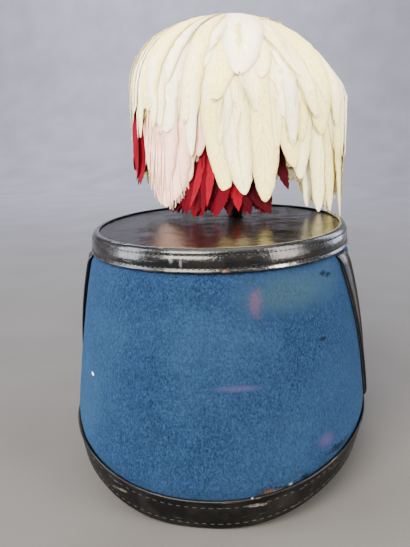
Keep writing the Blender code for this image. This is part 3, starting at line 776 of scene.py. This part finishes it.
def chevron_edges(level):
    """How far a chevron's strip reaches from the middle of the V at a level: its outer and its inner edge."""
    foot = level_above(BAND, CHEVRON_END_GAP)
    head = level_above(CAP, -CHEVRON_END_GAP)
    outer = CHEVRON_FOOT_REACH + (CHEVRON_TOP_REACH - CHEVRON_FOOT_REACH) * (level - foot) / (head - foot)
    return outer, max(outer - CHEVRON_STRIP, 0.0)


def chevron_point(level, middle, side, reach, rise):
    """A point of a chevron at a level, a reach along the cloth from the middle of the V."""
    half_width = on_shell(level, 0.0).x
    return on_shell(level, middle + side * reach / half_width, cloth_out(level) + GAP + rise)


def chevron(name, middle, material):
    """A V of two leather strips, each with rolled edges beside its rows of stitches."""
    foot = level_above(BAND, CHEVRON_END_GAP)
    head = level_above(CAP, -CHEVRON_END_GAP)
    columns = len(CHEVRON_ACROSS) - 1
    bm = bmesh.new()
    for side in (-1, 1):

        def place(u, v):
            level = foot + (head - foot) * v
            outer, inner = chevron_edges(level)
            share, relief = CHEVRON_ACROSS[round(u * columns)]
            width = outer - inner
            flat = smooth(CHEVRON_NARROW, 1.0, width / CHEVRON_STRIP) if share > 0.5 else 1.0
            meets = smooth(0.0, CHEVRON_MEETING, inner) if share > 0.5 else 1.0
            ends = smooth(0.0, CHEVRON_END_FADE, v) * smooth(0.0, CHEVRON_END_FADE, 1 - v)
            rise = CHEVRON_THICKNESS + relief * flat * meets * ends
            return chevron_point(level, middle, side, outer - share * width, rise)

        place_sheet(bm, columns, CHEVRON_STEPS, place, merge=0)
    remap(bm, lambda u, v: (v * CHEVRON_LENGTH, CHEVRON_ACROSS[round(u * columns)][0] * CHEVRON_STRIP))
    bmesh.ops.remove_doubles(bm, verts=bm.verts, dist=MERGE)
    piece = finish(name, bm, [material], "black_leather", [name.replace("_leather", "")])
    return wall(piece, CHEVRON_THICKNESS)


def peak_point(u, v, drop=0.0, inset=0.0):
    """A point of the peak's lower face: u runs round its edge and v out from its root."""
    side = 2 * u - 1
    angle = math.pi / 2 + side * PEAK_HALF_ANGLE
    seat = level_above(RIM, PEAK_SEAT)
    root = on_shell(seat, angle, GAP)
    outward = (on_shell(seat, angle, GAP + 0.01) - root).normalized()
    outward = Vector((outward.x * 0.5, outward.y + 0.5, 0.0)).normalized()
    fullness = max(1 - abs(side) ** PEAK_OUTLINE, 0.0) ** PEAK_ROUNDING
    reach = PEAK_END + (PEAK_REACH - PEAK_END) * fullness - inset
    fall = PEAK_DROP * reach / PEAK_REACH * v**PEAK_FALL + drop
    return root + outward * reach * v - Vector((0.0, 0.0, fall))


def peak(material):
    """The peak: one sheet of stiff leather that curves down and forward from the body's foot."""
    bm = bmesh.new()
    place_sheet(bm, 96, 20, lambda u, v: peak_point(u, v, inset=PEAK_EDGE_INSET))
    remap(bm, lambda u, v: (u * PEAK_GIRTH, v * PEAK_REACH))
    piece = finish("peak_leather", bm, [material], "black_leather", ["peak"])
    upwards = sum(face.normal.z for face in piece.data.polygons) > 0
    wall(piece, PEAK_THICKNESS, 1.0 if upwards else -1.0)


def peak_binding(material):
    """The narrow leather roll that binds the peak's edge."""
    middle = -1.1 * PEAK_THICKNESS / 2

    def place(u, v):
        share = 0.004 + v * 0.992
        centre = peak_point(share, 1.0, middle, PEAK_BINDING)
        ahead = peak_point(min(share + 0.01, 1.0), 1.0, middle, PEAK_BINDING)
        behind = peak_point(max(share - 0.01, 0.0), 1.0, middle, PEAK_BINDING)
        outward = (ahead - behind).cross(Vector((0.0, 0.0, 1.0))).normalized()
        turn = u * math.tau
        radius = PEAK_BINDING * (0.2 + 0.8 * smooth(0.0, 0.01, v) * smooth(0.0, 0.01, 1 - v))
        return centre + outward * math.cos(turn) * radius + Vector((0.0, 0.0, 1.12 * math.sin(turn) * radius))

    bm = bmesh.new()
    place_sheet(bm, 10, 140, place)
    bmesh.ops.holes_fill(bm, edges=bm.edges, sides=12)
    finish("peak_binding", bm, [material], "black_leather")


# The plume's holder and its stem, from the foot up: radius and height
HOLDER_PROFILE = (
    (0.0, 0.0), (0.0046, 0.0002), (0.0056, 0.0012), (0.0058, 0.0030), (0.0055, 0.0042), (0.0056, 0.0100),
    (0.0059, 0.0240), (0.0061, 0.0340), (0.0064, 0.0352), (0.0065, 0.0366), (0.0061, 0.0379),
    (0.0050, 0.0380), (0.0044, 0.0372), (0.0, 0.0370),
)
STEM_PROFILE = (
    (0.0, 0.0), (0.0040, 0.0), (0.0046, 0.006), (0.0060, 0.020), (0.0074, 0.045),
    (0.0076, STEM_HEIGHT - 0.02), (0.0, STEM_HEIGHT - 0.012),
)


def plume_holder(material):
    """The holder at the front that the plume's stem stands in: a tapered leather sleeve with rolled ends."""
    lowest = level_above(CAP, TOP_BAND_HEIGHT - (SOCKET_LENGTH - SOCKET_RISE))
    fronts = [on_shell(level, math.pi / 2).y for level in (CROWN, CAP, lowest)]
    head = Vector((0.0, max(fronts) + SOCKET_RADIUS + GAP, BODY_HEIGHT + SOCKET_RISE))
    bm = bmesh.new()
    turn_profile(bm, HOLDER_PROFILE, HOLDER_SIDES)
    bmesh.ops.translate(bm, verts=bm.verts, vec=head - Vector((0.0, 0.0, SOCKET_LENGTH)))
    finish("plume_holder", bm, [material], "black_leather", ["plume_socket"])


def stitches(name, rows, seam, material, slot):
    """Single stitches along rows of close points, each row with its outward directions: a small pod each."""
    chance = random.Random(1)
    bm = bmesh.new()
    for path, normals in rows:
        due = 0.0
        for before, after, normal in zip(path, path[1:], normals):
            step = after - before
            due += step.length
            if due < seam.pitch:
                continue
            due -= seam.pitch
            if chance.random() < MISSING_STITCHES:
                continue
            tangent = step.normalized()
            side = normal.cross(tangent).normalized()
            up = tangent.cross(side)
            turn = Matrix((tangent, side, up)).transposed().to_4x4()
            spread = 1 + chance.uniform(-UNEVEN_STITCHES, UNEVEN_STITCHES)
            scale = Matrix.Diagonal((seam.length / 2 * spread, seam.width / 2, seam.height / 2, 1.0))
            bmesh.ops.create_icosphere(
                bm,
                subdivisions=1,
                radius=1.0,
                matrix=Matrix.Translation((before + after) / 2) @ turn @ scale,
            )
    return finish(name, bm, [material], slot)


def hoop_path(hoop, rise, out):
    """Close points round the shell for a row of stitches, and the outward direction at each."""
    level = level_above(hoop, rise)
    angles = [math.tau * step / SEAM_STEPS for step in range(SEAM_STEPS + 1)]
    path = [on_shell(level, angle, out) for angle in angles]
    beyond = [on_shell(level, angle, out + 0.01) for angle in angles]
    return path, [(outer - point).normalized() for point, outer in zip(path, beyond)]


def chevron_path(middle, side, seam):
    """Close points down one seam of a chevron's strip, and the outward direction at each."""
    foot = level_above(BAND, CHEVRON_SEAM_FOOT)
    head = level_above(CAP, -CHEVRON_SEAM_HEAD)
    path, normals = [], []
    for step in range(CHEVRON_SEAM_STEPS):
        level = foot + (head - foot) * step / (CHEVRON_SEAM_STEPS - 1)
        outer, inner = chevron_edges(level)
        if seam == INNER_SEAM and inner < INNER_SEAM_START:
            continue
        reach = outer - seam * (outer - inner)
        point = chevron_point(level, middle, side, reach, CHEVRON_THICKNESS)
        path.append(point)
        normals.append((chevron_point(level, middle, side, reach, 0.01) - point).normalized())
    return path, normals


def peak_path():
    """Close points along the peak's edge for a row of stitches, and the outward direction at each."""
    shares = [0.02 + 0.96 * step / PEAK_SEAM_STEPS for step in range(PEAK_SEAM_STEPS + 1)]
    path = [peak_point(share, 1.0, -1.12 * PEAK_THICKNESS, PEAK_SEAM_INSET) for share in shares]
    return path, [Vector((0.0, 0.0, 1.0))] * len(path)


def dome_squareness(azimuth):
    """How full the plume's dome is at an azimuth: full on the hat's left, and sloping on its right."""
    return DOME_SQUARENESS - DOME_LOPSIDED * math.sin(azimuth)


def dome_point(azimuth, turn, stand, crest=PLUME_HEIGHT, spread=1.0):
    """A point on the plume's dome, or out from it.

    A turn of 0 is its crest, a right angle its waist, and a turn under 0 lies beyond the crest.
    """
    power = 2 / dome_squareness(azimuth)
    out = math.copysign(abs(math.sin(turn)) ** power, turn) * spread
    return PLUME_MIDDLE + Vector((
        (PLUME_HALF_WIDTH + stand) * out * math.sin(azimuth),
        -(PLUME_HALF_DEPTH + stand) * out * math.cos(azimuth),
        PLUME_WAIST + (crest + min(stand, 0.3 * stand) - PLUME_WAIST) * math.cos(turn) ** power,
    ))


def lowest_tip(azimuth):
    """The lowest that a feather may hang at an azimuth in degrees, as a share of the plume's height."""
    for (low, start), (high, end) in zip(LOWEST_TIPS, LOWEST_TIPS[1:]):
        if azimuth <= high:
            return start + (end - start) * (azimuth - low) / (high - low)
    return LOWEST_TIPS[-1][1]


# A feather's path: its steps, the share of them down to the waist, and the drop that stands in for that share
# where a feather starts under the waist
PATH_STEPS = 60
WAIST_SHARE = 0.6
ROOT_DROP = 0.02


def feather_path(root, tip_azimuth, start, tip, stand, foot=1.0, crest=PLUME_HEIGHT, spread=1.0, flare=1.6):
    """Close points down a feather, from its root on the dome to its tip, with the azimuth at each.

    Start is in degrees down from the crest, and each degree past 90 lies a millimetre under the waist.
    """
    low = BODY_HEIGHT + tip * PLUME_HEIGHT
    under = start >= 90
    path = []
    for step in range(PATH_STEPS + 1):
        share = step / PATH_STEPS
        azimuth = math.radians(root + (tip_azimuth - root) * share)
        if share < WAIST_SHARE:
            turn = math.pi / 2 if under else math.radians(start + (90 - start) * share / WAIST_SHARE)
            point = dome_point(azimuth, turn, stand, crest, spread)
            if under:
                point.z -= (start - 90) / 1000 + ROOT_DROP * share / WAIST_SHARE
        else:
            hang = (share - WAIST_SHARE) / (1 - WAIST_SHARE)
            point = dome_point(azimuth, math.pi / 2, stand, crest, spread)
            end = dome_point(azimuth, math.pi / 2, stand, crest, foot)
            top = point.z - ((start - 90) / 1000 + ROOT_DROP if under else 0.0)
            point.xy = point.xy.lerp(end.xy, hang**flare)
            point.z = top + (min(low, top) - top) * hang
        path.append((point, azimuth))
    kept = [entry for entry in path if entry[0].z >= low - MERGE]
    return kept if len(kept) > 8 else path


# Down a feather: share of its length, and share of its full width
FEATHER_OUTLINE = (
    (0.0, 0.55), (0.10, 0.70), (0.22, 0.84), (0.34, 0.94), (0.46, 1.0), (0.57, 1.0), (0.66, 0.97),
    (0.74, 0.91), (0.81, 0.82), (0.87, 0.71), (0.92, 0.57), (0.96, 0.41), (0.985, 0.26), (1.0, 0.08),
)
POINTED_OUTLINE = (
    (0.0, 0.25), (0.30, 0.50), (0.55, 0.76), (0.70, 0.96), (0.80, 1.0), (0.88, 0.80), (0.94, 0.48),
    (1.0, 0.03),
)
BARB_OUTLINE = ((0.0, 0.4), (0.35, 1.0), (0.75, 0.7), (1.0, 0.1))

# A feather's vane: how uneven its edge and how deep its hollow is, as shares of its width, the most that it
# sweeps sideways, in metres and as a share of its length, the span of its curls outwards, and the share of
# its length from the root that is deeper in colour, partly its own tint and partly painted shade
RAGGED = 0.08
HOLLOW = 0.045
SWEEP = 0.0055
SHORT_SWEEP = 0.07
CURLS = (-0.0002, 0.0007)
TINT_AND_SHADE_SHARE = 0.6


def along_path(path, lengths, share):
    """The point, direction and azimuth at a share of a path's length."""
    wanted = share * lengths[-1]
    index = 0
    while index < len(lengths) - 2 and lengths[index + 1] < wanted:
        index += 1
    local = (wanted - lengths[index]) / max(lengths[index + 1] - lengths[index], 1e-9)
    (start, azimuth), (end, after) = path[index], path[index + 1]
    back, ahead = path[max(index - 3, 0)][0], path[min(index + 4, len(path) - 1)][0]
    return start.lerp(end, local), (ahead - back).normalized(), azimuth + (after - azimuth) * local


def vane_directions(along, azimuth, roll):
    """A feather's directions across, outwards from the dome, and raised from its face once it is rolled."""
    side = Vector((math.cos(azimuth), math.sin(azimuth), 0.0))
    side = (side - along * side.dot(along)).normalized()
    outward = side.cross(along).normalized()
    if outward.dot(Vector((math.sin(azimuth), -math.cos(azimuth), 0.35))) < 0:
        outward = -outward
    turned = side * math.cos(roll) + outward * math.sin(roll)
    raised = outward * math.cos(roll) - side * math.sin(roll)
    return turned, outward, raised


def feather(bm, path, width, roll, colour, deep, chance, outline=FEATHER_OUTLINE, frayed=0.90, columns=6):
    """Adds one feather along a path: a strip hollowed round its shaft, with uneven edges and its own tint.

    Its colour deepens towards the root and yellows towards its edges, partly its own tint and partly painted
    shade in the hollows between feathers, and from its frayed share on its barbs part towards the tip.
    """
    tint = bm.verts.layers.float_color.get("tint") or bm.verts.layers.float_color.new("tint")
    lengths = [0.0]
    for (before, _), (after, _) in zip(path, path[1:]):
        lengths.append(lengths[-1] + (after - before).length)
    total = lengths[-1]
    rows = len(outline) - 1
    ragged = [[chance.uniform(-RAGGED, RAGGED) for _ in range(rows + 1)] for _ in range(2)]
    sweep = chance.uniform(-1, 1) * min(SWEEP, total * SHORT_SWEEP)
    curl = chance.uniform(*CURLS)
    light, dark = Vector(linear(colour)), Vector(linear(deep))
    uv = bm.loops.layers.uv.verify()
    grid = bmesh.ops.create_grid(bm, x_segments=columns, y_segments=rows, size=0.5)
    shares = {vert: (vert.co.x * 2, round((vert.co.y + 0.5) * rows)) for vert in grid["verts"]}
    for face in {face for vert in grid["verts"] for face in vert.link_faces}:
        for loop in face.loops:
            across, row = shares[loop.vert]
            loop[uv].uv = (across * width / 2 * outline[row][1], outline[row][0] * total)
    for vert, (across, row) in shares.items():
        share, full = outline[row]
        point, along, azimuth = along_path(path, lengths, share)
        turned, outward, raised = vane_directions(along, azimuth, roll)
        edge = 1 + (ragged[0 if across < 0 else 1][row] if abs(across) > 0.9 else 0.0)
        reach = across * width / 2 * full * edge + sweep * math.sin(share * math.pi)
        sunk = HOLLOW * width * across**2 * full
        vert.co = point + turned * reach + outward * curl * share**3 - raised * sunk
        # Painted shade: the deeper colour towards the root and the edges is partly the feather's own deeper
        # root and partly painted shade in the hollows and along the edges between feathers.
        root_tint_and_shade = max(0.0, 1 - share / TINT_AND_SHADE_SHARE) ** 1.3
        mixed = light.lerp(dark, min(root_tint_and_shade * 0.55 + 0.2 * across**4, 1.0))
        mixed.w = max(abs(across) * 0.99, 0.92 * smooth(frayed, 1.0, share))
        vert[tint] = mixed


# Under layers that fill the plume: how many feathers, how far they stand out from the dome, which is negative
# as they lie in from it, the span of their starts, their width, and how much their tips rise unevenly
Layer = namedtuple("Layer", "count stand starts width shorten")
UNDER_LAYERS = (
    Layer(70, -0.0110, (-10, 40), 0.028, 0.25),
    Layer(70, -0.0080, (-20, 50), 0.026, 0.35),
    Layer(70, -0.0055, (-20, 50), 0.024, 0.50),
)


def under_feathers(bm, chance):
    """Under layers of white feathers, laid round by the golden turn, with uneven tips."""
    turn = 0.0
    for layer in UNDER_LAYERS:
        for _ in range(layer.count):
            turn += 360 * GOLDEN_TURN
            azimuth = (turn + chance.uniform(-4, 4)) % 360 - 180
            tip = lowest_tip(azimuth) + 0.02 + abs(chance.gauss(0, 0.2)) * layer.shorten
            path = feather_path(
                azimuth - chance.uniform(-10, 10),
                azimuth,
                chance.uniform(*layer.starts),
                min(tip, 0.7),
                layer.stand + chance.uniform(-0.0010, 0.0010),
                foot=chance.uniform(0.97, 1.0),
            )
            colour = chance.choice((IVORY, IVORY, CREAM, WHITE))
            roll = math.radians(chance.uniform(-10, 10))
            feather(bm, path, layer.width * chance.uniform(0.85, 1.15), roll, colour, STRAW, chance)


def random_feather(bm, chance, path, colours, widths, most_roll, frayed=0.90):
    """A white feather along a path, with its colour, width and roll drawn at random."""
    colour = chance.choice(colours)
    width = chance.uniform(*widths)
    roll = math.radians(chance.uniform(-most_roll, most_roll))
    feather(bm, path, width, roll, colour, STRAW, chance, frayed=frayed)


def outer_feathers(bm, chance):
    """Loose white feathers over the crest, then round the side that the photograph doesn't show."""
    for index in range(CREST_FEATHERS):
        azimuth = (90 + 180 * (index + 0.5) / CREST_FEATHERS + 180) % 360 - 180
        tip = chance.uniform(0.45, 0.80)
        path = feather_path(azimuth - chance.uniform(-14, 14), azimuth, chance.uniform(-24, 0), tip, -0.003)
        random_feather(bm, chance, path, (IVORY, WHITE, CREAM), (0.016, 0.023), 10)
    for index in range(HIDDEN_FEATHERS):
        azimuth = (264 + 196 * (index + 0.5) / HIDDEN_FEATHERS) % 360 - 180
        tip = lowest_tip(azimuth) + chance.choice((0.0, 0.05, 0.15, 0.35, 0.5))
        start = chance.choice((chance.uniform(-15, 10), chance.uniform(10, 55)))
        stand = chance.uniform(-0.0050, -0.0025)
        path = feather_path(azimuth - chance.uniform(-10, 10), azimuth, start, tip, stand)
        random_feather(bm, chance, path, (IVORY, IVORY, CREAM, WHITE), (0.018, 0.024), 10)


def shown_feathers(bm, chance):
    """The white feathers that show singly, laid close to the dome, then smaller loose ones between them."""
    for row in SHOWN_FEATHERS:
        path = feather_path(row.root, row.tip_azimuth, row.start, row.tip, 0.5 * row.stand - 0.0030)
        roll = math.radians(row.roll * 0.7)
        frayed = 0.80 if row.colour == BLUSH else 0.88
        feather(bm, path, row.width, roll, row.colour, STRAW, chance, frayed=frayed)
    for index in range(LOOSE_FEATHERS):
        azimuth = -66 + 150 * (index * GOLDEN_TURN % 1)
        start = chance.uniform(8, 46)
        tip = max(chance.uniform(0.24, 0.72), lowest_tip(azimuth) + 0.08)
        path = feather_path(azimuth * 0.86, azimuth, start, tip, chance.uniform(-0.0012, 0.0006))
        random_feather(bm, chance, path, (WHITE, IVORY, IVORY, CREAM), (0.009, 0.016), 12, 0.8)


def loose_barbs(bm, chance):
    """Strands at the tips of the blush feathers, then single barbs and down that stand free all round."""
    for _ in range(BLUSH_STRANDS):
        tip_azimuth = chance.uniform(-50, -20)
        tip = lowest_tip(tip_azimuth) + chance.uniform(-0.035, 0.03)
        path = feather_path(-28, tip_azimuth, 60, tip, chance.uniform(-0.0030, -0.0005))[-18:]
        colour = chance.choice((BLUSH, BLUSH, WHITE))
        width = chance.uniform(0.0008, 0.0020)
        feather(bm, path, width, 0.0, colour, BLUSH, chance, BARB_OUTLINE, 0.99, 2)
    for _ in range(SINGLE_BARBS):
        azimuth = chance.uniform(-180, 180)
        stand = chance.uniform(-0.0030, 0.0004)
        end = azimuth + chance.uniform(-26, 26)
        path = feather_path(azimuth, end, chance.uniform(-30, 60), 0.12, stand)
        first = chance.randrange(0, 40)
        colour = chance.choice((IVORY, WHITE, CREAM))
        part = path[first : first + chance.randrange(8, 16)]
        lowest = BODY_HEIGHT + (lowest_tip(azimuth) + 0.06) * PLUME_HEIGHT
        if len(part) > 3 and part[-1][0].z > lowest:
            width = chance.uniform(0.0007, 0.0018)
            feather(bm, part, width, 0.0, colour, STRAW, chance, BARB_OUTLINE, 0.99, 2)


def white_plume(material):
    """The white feathers, from the innermost out."""
    chance = random.Random(11)
    bm = bmesh.new()
    under_feathers(bm, chance)
    outer_feathers(bm, chance)
    shown_feathers(bm, chance)
    loose_barbs(bm, chance)
    piece = finish("white_feathers", bm, [material], "white_feathers", ["plume_white"], sharp_rims=True)
    wall(piece, VANE_THICKNESS, 0.0)


def red_ring(bm, chance):
    """Red feathers that hang inside the white ones, but for a span at the right where they would show."""
    for index in range(RED_RING_FEATHERS):
        azimuth = (index * 360 * GOLDEN_TURN + chance.uniform(-5, 5)) % 360 - 180
        if 12 < azimuth < 62:
            continue
        path = feather_path(
            azimuth,
            azimuth,
            chance.uniform(30, 50),
            max(lowest_tip(azimuth), 0.05) + chance.uniform(0.04, 0.2),
            -0.016,
            foot=0.80,
            crest=STEM_HEIGHT,
            spread=0.92,
        )
        roll = math.radians(chance.uniform(-14, 14))
        colour = chance.choice((RED, DARK_RED))
        width = chance.uniform(0.010, 0.014)
        feather(bm, path, width, roll, colour, DARK_RED, chance, POINTED_OUTLINE)


def red_fan(chance):
    """Rows for the narrow red feathers that fan out on the crown at the back."""
    fan = []
    for index in range(RED_FAN_FEATHERS):
        share = chance.random()
        tip = 0.002 + 0.028 * chance.random() ** 2
        # The lighter red paints highlight streaks among the fan's feathers.
        colour = chance.choice((HIGHLIT_RED, RED, RED, DARK_RED))
        foot = 1.20 - 0.22 * abs(share - 0.55) / 0.55 + chance.uniform(-0.06, 0.03)
        start = chance.uniform(78, 92)
        stand = -0.0092 + 0.00003 * index
        fan.append(RedFeather(-18 + 12 * share, -42 + 62 * share, start, tip, 0.010, stand, foot, colour))
    return fan


def red_plume(material):
    """The red feathers under the white ones: a hidden ring, the fan, and those that show singly."""
    chance = random.Random(5)
    bm = bmesh.new()
    red_ring(bm, chance)
    for row in red_fan(chance) + SHOWN_RED:
        path = feather_path(
            row.root,
            row.tip_azimuth,
            row.start,
            row.tip,
            row.stand,
            foot=row.foot,
            spread=0.98,
            flare=2.6,
        )
        roll = math.radians(chance.uniform(-20, 20))
        feather(bm, path, row.width, roll, row.colour, DARK_RED, chance, POINTED_OUTLINE, 0.93)
    piece = finish("red_feathers", bm, [material], "red_feathers", ["plume_red"], sharp_rims=True)
    wall(piece, VANE_THICKNESS, 0.0)


def plume_stem(material):
    """The stem that the feathers are bound to, leaning from the holder up into the plume's middle."""
    foot = Vector((0.0, PLUME_MIDDLE.y + STEM_BEFORE_MIDDLE, BODY_HEIGHT + SOCKET_RISE - STEM_SUNK))
    bm = bmesh.new()
    turn_profile(bm, STEM_PROFILE, STEM_SIDES)
    for vert in bm.verts:
        share = max(vert.co.z, 0.0) / STEM_HEIGHT
        vert.co.xy += (PLUME_MIDDLE.xy - foot.xy) * share
        vert.co += foot
    finish("plume_stem", bm, [material], "red_feathers")


# The paper sweep: its front end, where it turns up behind, the radius of its turn, its height and half width
PAPER_FRONT = -3.0
PAPER_BACK = 1.6
PAPER_TURN = 0.8
PAPER_HEIGHT = 3.0
PAPER_HALF_WIDTH = 4.0


def stage_floor():
    """A grey paper sweep: level under the hat, and curved up behind it."""
    bm = bmesh.new()
    profile = [(PAPER_FRONT, 0.0), (PAPER_BACK, 0.0)]
    for degrees in range(10, 91, 10):
        turn = math.radians(degrees)
        profile.append((PAPER_BACK + PAPER_TURN * math.sin(turn), PAPER_TURN * (1 - math.cos(turn))))
    profile.append((PAPER_BACK + PAPER_TURN, PAPER_HEIGHT))
    verts = [bm.verts.new((-PAPER_HALF_WIDTH, y, z)) for y, z in profile]
    edges = [bm.edges.new(pair) for pair in zip(verts, verts[1:])]
    swept = bmesh.ops.extrude_edge_only(bm, edges=edges)
    moved = [item for item in swept["geom"] if isinstance(item, bmesh.types.BMVert)]
    bmesh.ops.translate(bm, verts=moved, vec=(2 * PAPER_HALF_WIDTH, 0.0, 0.0))
    bmesh.ops.recalc_face_normals(bm, faces=bm.faces)
    mesh = bpy.data.meshes.new("studio_floor")
    bm.to_mesh(mesh)
    bm.free()
    if mesh.polygons[0].normal.z < 0:
        mesh.flip_normals()
    mesh.shade_smooth()
    mesh.materials.append(studio_paper("grey_background_paper", "3E3C3A"))
    link("studio_floor", mesh)


def add_camera():
    """The photograph's viewpoint, in the hat's frame, leaned and placed with the hat."""
    level = VIEW_DISTANCE * math.cos(VIEW_HEIGHT_ANGLE)
    eye = Vector((
        level * math.sin(VIEW_SIDE_ANGLE),
        -level * math.cos(VIEW_SIDE_ANGLE),
        VIEW_DISTANCE * math.sin(VIEW_HEIGHT_ANGLE) - VIEW_DROP,
    ))
    ahead = (VIEW_TARGET - eye).normalized()
    right = ahead.cross(Vector((0.0, 0.0, 1.0))).normalized()
    turn = Matrix((right, right.cross(ahead), -ahead)).transposed().to_4x4()
    data = bpy.data.cameras.new("photo_camera")
    data.sensor_fit = "VERTICAL"
    data.sensor_height = 36.0
    data.lens = FOCAL_PIXELS * data.sensor_height / IMAGE_HEIGHT
    data.clip_start = 0.01
    camera = link("photo_camera", data)
    camera.matrix_world = REST @ Matrix.Translation(eye) @ turn @ Matrix.Rotation(VIEW_ROLL, 4, "Z")
    bpy.context.scene.camera = camera


# Soft studio lights, each aimed at a point. Tall windows of light stand down to the floor beside the hat, and
# the glossy leather reflects them.
Light = namedtuple("Light", "name place aim size power colour")
PLUME_AIM = (0.0, 0.05, 0.20)
BODY_AIM = (0.0, 0.0, 0.30)
LIGHTS = (
    Light("soft_overhead", (0.0, -0.2, 1.4), PLUME_AIM, (1.4, 1.4), 26.0, "FFFFFF"),
    Light("soft_front", (-0.35, -1.0, 0.85), PLUME_AIM, (0.8, 0.8), 80.0, "FFF6E8"),
    Light("tall_left", (-1.10, -0.34, 0.55), BODY_AIM, (0.50, 1.10), 34.0, "F3F6FF"),
    Light("tall_right", (1.05, -0.44, 0.55), BODY_AIM, (0.50, 1.10), 42.0, "FFF8F0"),
    Light("tall_back_right", (1.00, 0.90, 0.55), BODY_AIM, (0.45, 1.10), 13.0, "E8ECFF"),
    Light("background_light", (-0.6, 1.5, 1.5), (-0.6, 2.4, 0.3), (2.0, 0.4), 320.0, "DCE2FF"),
)
SURROUNDINGS = "E4E6EC"
SURROUNDINGS_STRENGTH = 0.80


def light_studio():
    """The pale surroundings, and the rectangular lights of the table."""
    world = bpy.data.worlds.new("studio")
    world.use_nodes = True
    background = world.node_tree.nodes["Background"]
    background.inputs["Color"].default_value = linear(SURROUNDINGS)
    background.inputs["Strength"].default_value = SURROUNDINGS_STRENGTH
    bpy.context.scene.world = world
    for row in LIGHTS:
        data = bpy.data.lights.new(row.name, "AREA")
        data.shape = "RECTANGLE"
        data.size, data.size_y = row.size
        data.energy = row.power
        data.color = linear(row.colour)[:3]
        light = link(row.name, data)
        light.location = row.place
        light.rotation_euler = (Vector(row.aim) - Vector(row.place)).to_track_quat("-Z", "Y").to_euler()


def base_band_leather():
    """The base band's leather: rubbed dull and brownish, most of all along its upper edge, where the pale
    rubbed row is partly real wear and partly a painted highlight on the rolled edge.
    """
    return worn_leather(
        "black_calf_leather",
        "050505",
        "4E483E",
        gloss=0.44,
        coat=0.08,
        # Painted highlight with real wear: the pale row along the upper edge stands for the rolled edge
        # catching the light as well as for rubbing.
        worn_and_highlit_rows=[(0.0262, 0.0011)],
        wear=1.0,
        marks=BASE_BAND_MARKS,
    )


def top_band_leather():
    """The top band's leather: varnished, creased, and rubbed along both of its edges."""
    return worn_leather(
        "black_patent_leather",
        "030405",
        "2A2423",
        gloss=0.20,
        coat=0.36,
        worn_and_highlit_rows=[(0.0014, 0.0010), (0.0150, 0.0012)],
        wear=0.40,
        marks=TOP_BAND_MARKS,
        crinkle=0.00018,
    )


def strap_leather():
    """The chevrons' leather: thick and waxed, with worn outer rolls."""
    worn_and_highlit_rows = [(0.0021, 0.0005)]
    return worn_leather("black_strap_leather", "0B0B0C", "4A4844", 0.34, 0.2, worn_and_highlit_rows, 0.9)


def peak_leather():
    """The peak's leather: polished, and little worn."""
    worn_and_highlit_rows = [(0.0445, 0.0012)]
    return worn_leather("black_peak_leather", "060607", "3A3028", 0.26, 0.14, worn_and_highlit_rows, 0.2)


def stitch_seams(beige_thread, black_thread):
    """The rows of stitches on the bands, the chevrons and the peak."""
    base_rows = [hoop_path(RIM, BASE_SEAM_LOW, 0.0), hoop_path(BAND, BASE_SEAM_HIGH, 0.0)]
    top_rows = [hoop_path(CAP, TOP_SEAM_LOW, 0.0001), hoop_path(CROWN, TOP_SEAM_HIGH, 0.0001)]
    chevron_rows = []
    for middle in (0.0, math.pi):
        for side in (-1, 1):
            for seam in (OUTER_SEAM, INNER_SEAM):
                chevron_rows.append(chevron_path(middle, side, seam))
    stitches("base_band_stitches", base_rows, BASE_SEAM, beige_thread, "black_leather")
    stitches("top_band_stitches", top_rows, FINE_SEAM, black_thread, "black_patent_leather")
    stitches("chevron_stitches", chevron_rows, FINE_SEAM, black_thread, "black_leather")
    stitches("peak_stitches", [peak_path()], PEAK_SEAM, black_thread, "black_leather")


def build():
    """Every piece of the hat, in its materials."""
    wool = [felted_wool(), stiffened_felt()]
    base = base_band_leather()
    top = top_band_leather()
    strap = strap_leather()
    polished = peak_leather()
    beige_thread = linen_thread("beige_linen_thread", "10100E")
    black_thread = linen_thread("black_linen_thread", "0C0B0A")
    white_barbs = barbed_feather("white_goose_feather", "A8924A", 0.12, 0.2)
    red_barbs = barbed_feather("red_goose_feather", "3A040A", 0.0, 0.05)

    bands = (
        ("cloth_body", cloth_rows(), WALL_THICKNESS, CLOTH_WAVE, wool, "blue_wool_cloth", "body_wall"),
        ("base_band_leather", BASE_ROWS, BAND_LEATHER, BASE_WAVE, [base], "black_leather", "base_band"),
        ("top_band_leather", TOP_ROWS, BAND_LEATHER, TOP_WAVE, [top], "black_patent_leather", "top_band"),
    )
    for band in bands:
        hoop_piece(*band)
    crown_disc(crown_leather())
    chevron("chevron_right_leather", 0.0, strap)
    chevron("chevron_left_leather", math.pi, strap)
    peak(polished)
    peak_binding(polished)
    plume_holder(base)
    plume_stem(red_barbs)
    stitch_seams(beige_thread, black_thread)
    white_plume(white_barbs)
    red_plume(red_barbs)


add_camera()
stage_floor()
light_studio()
build()
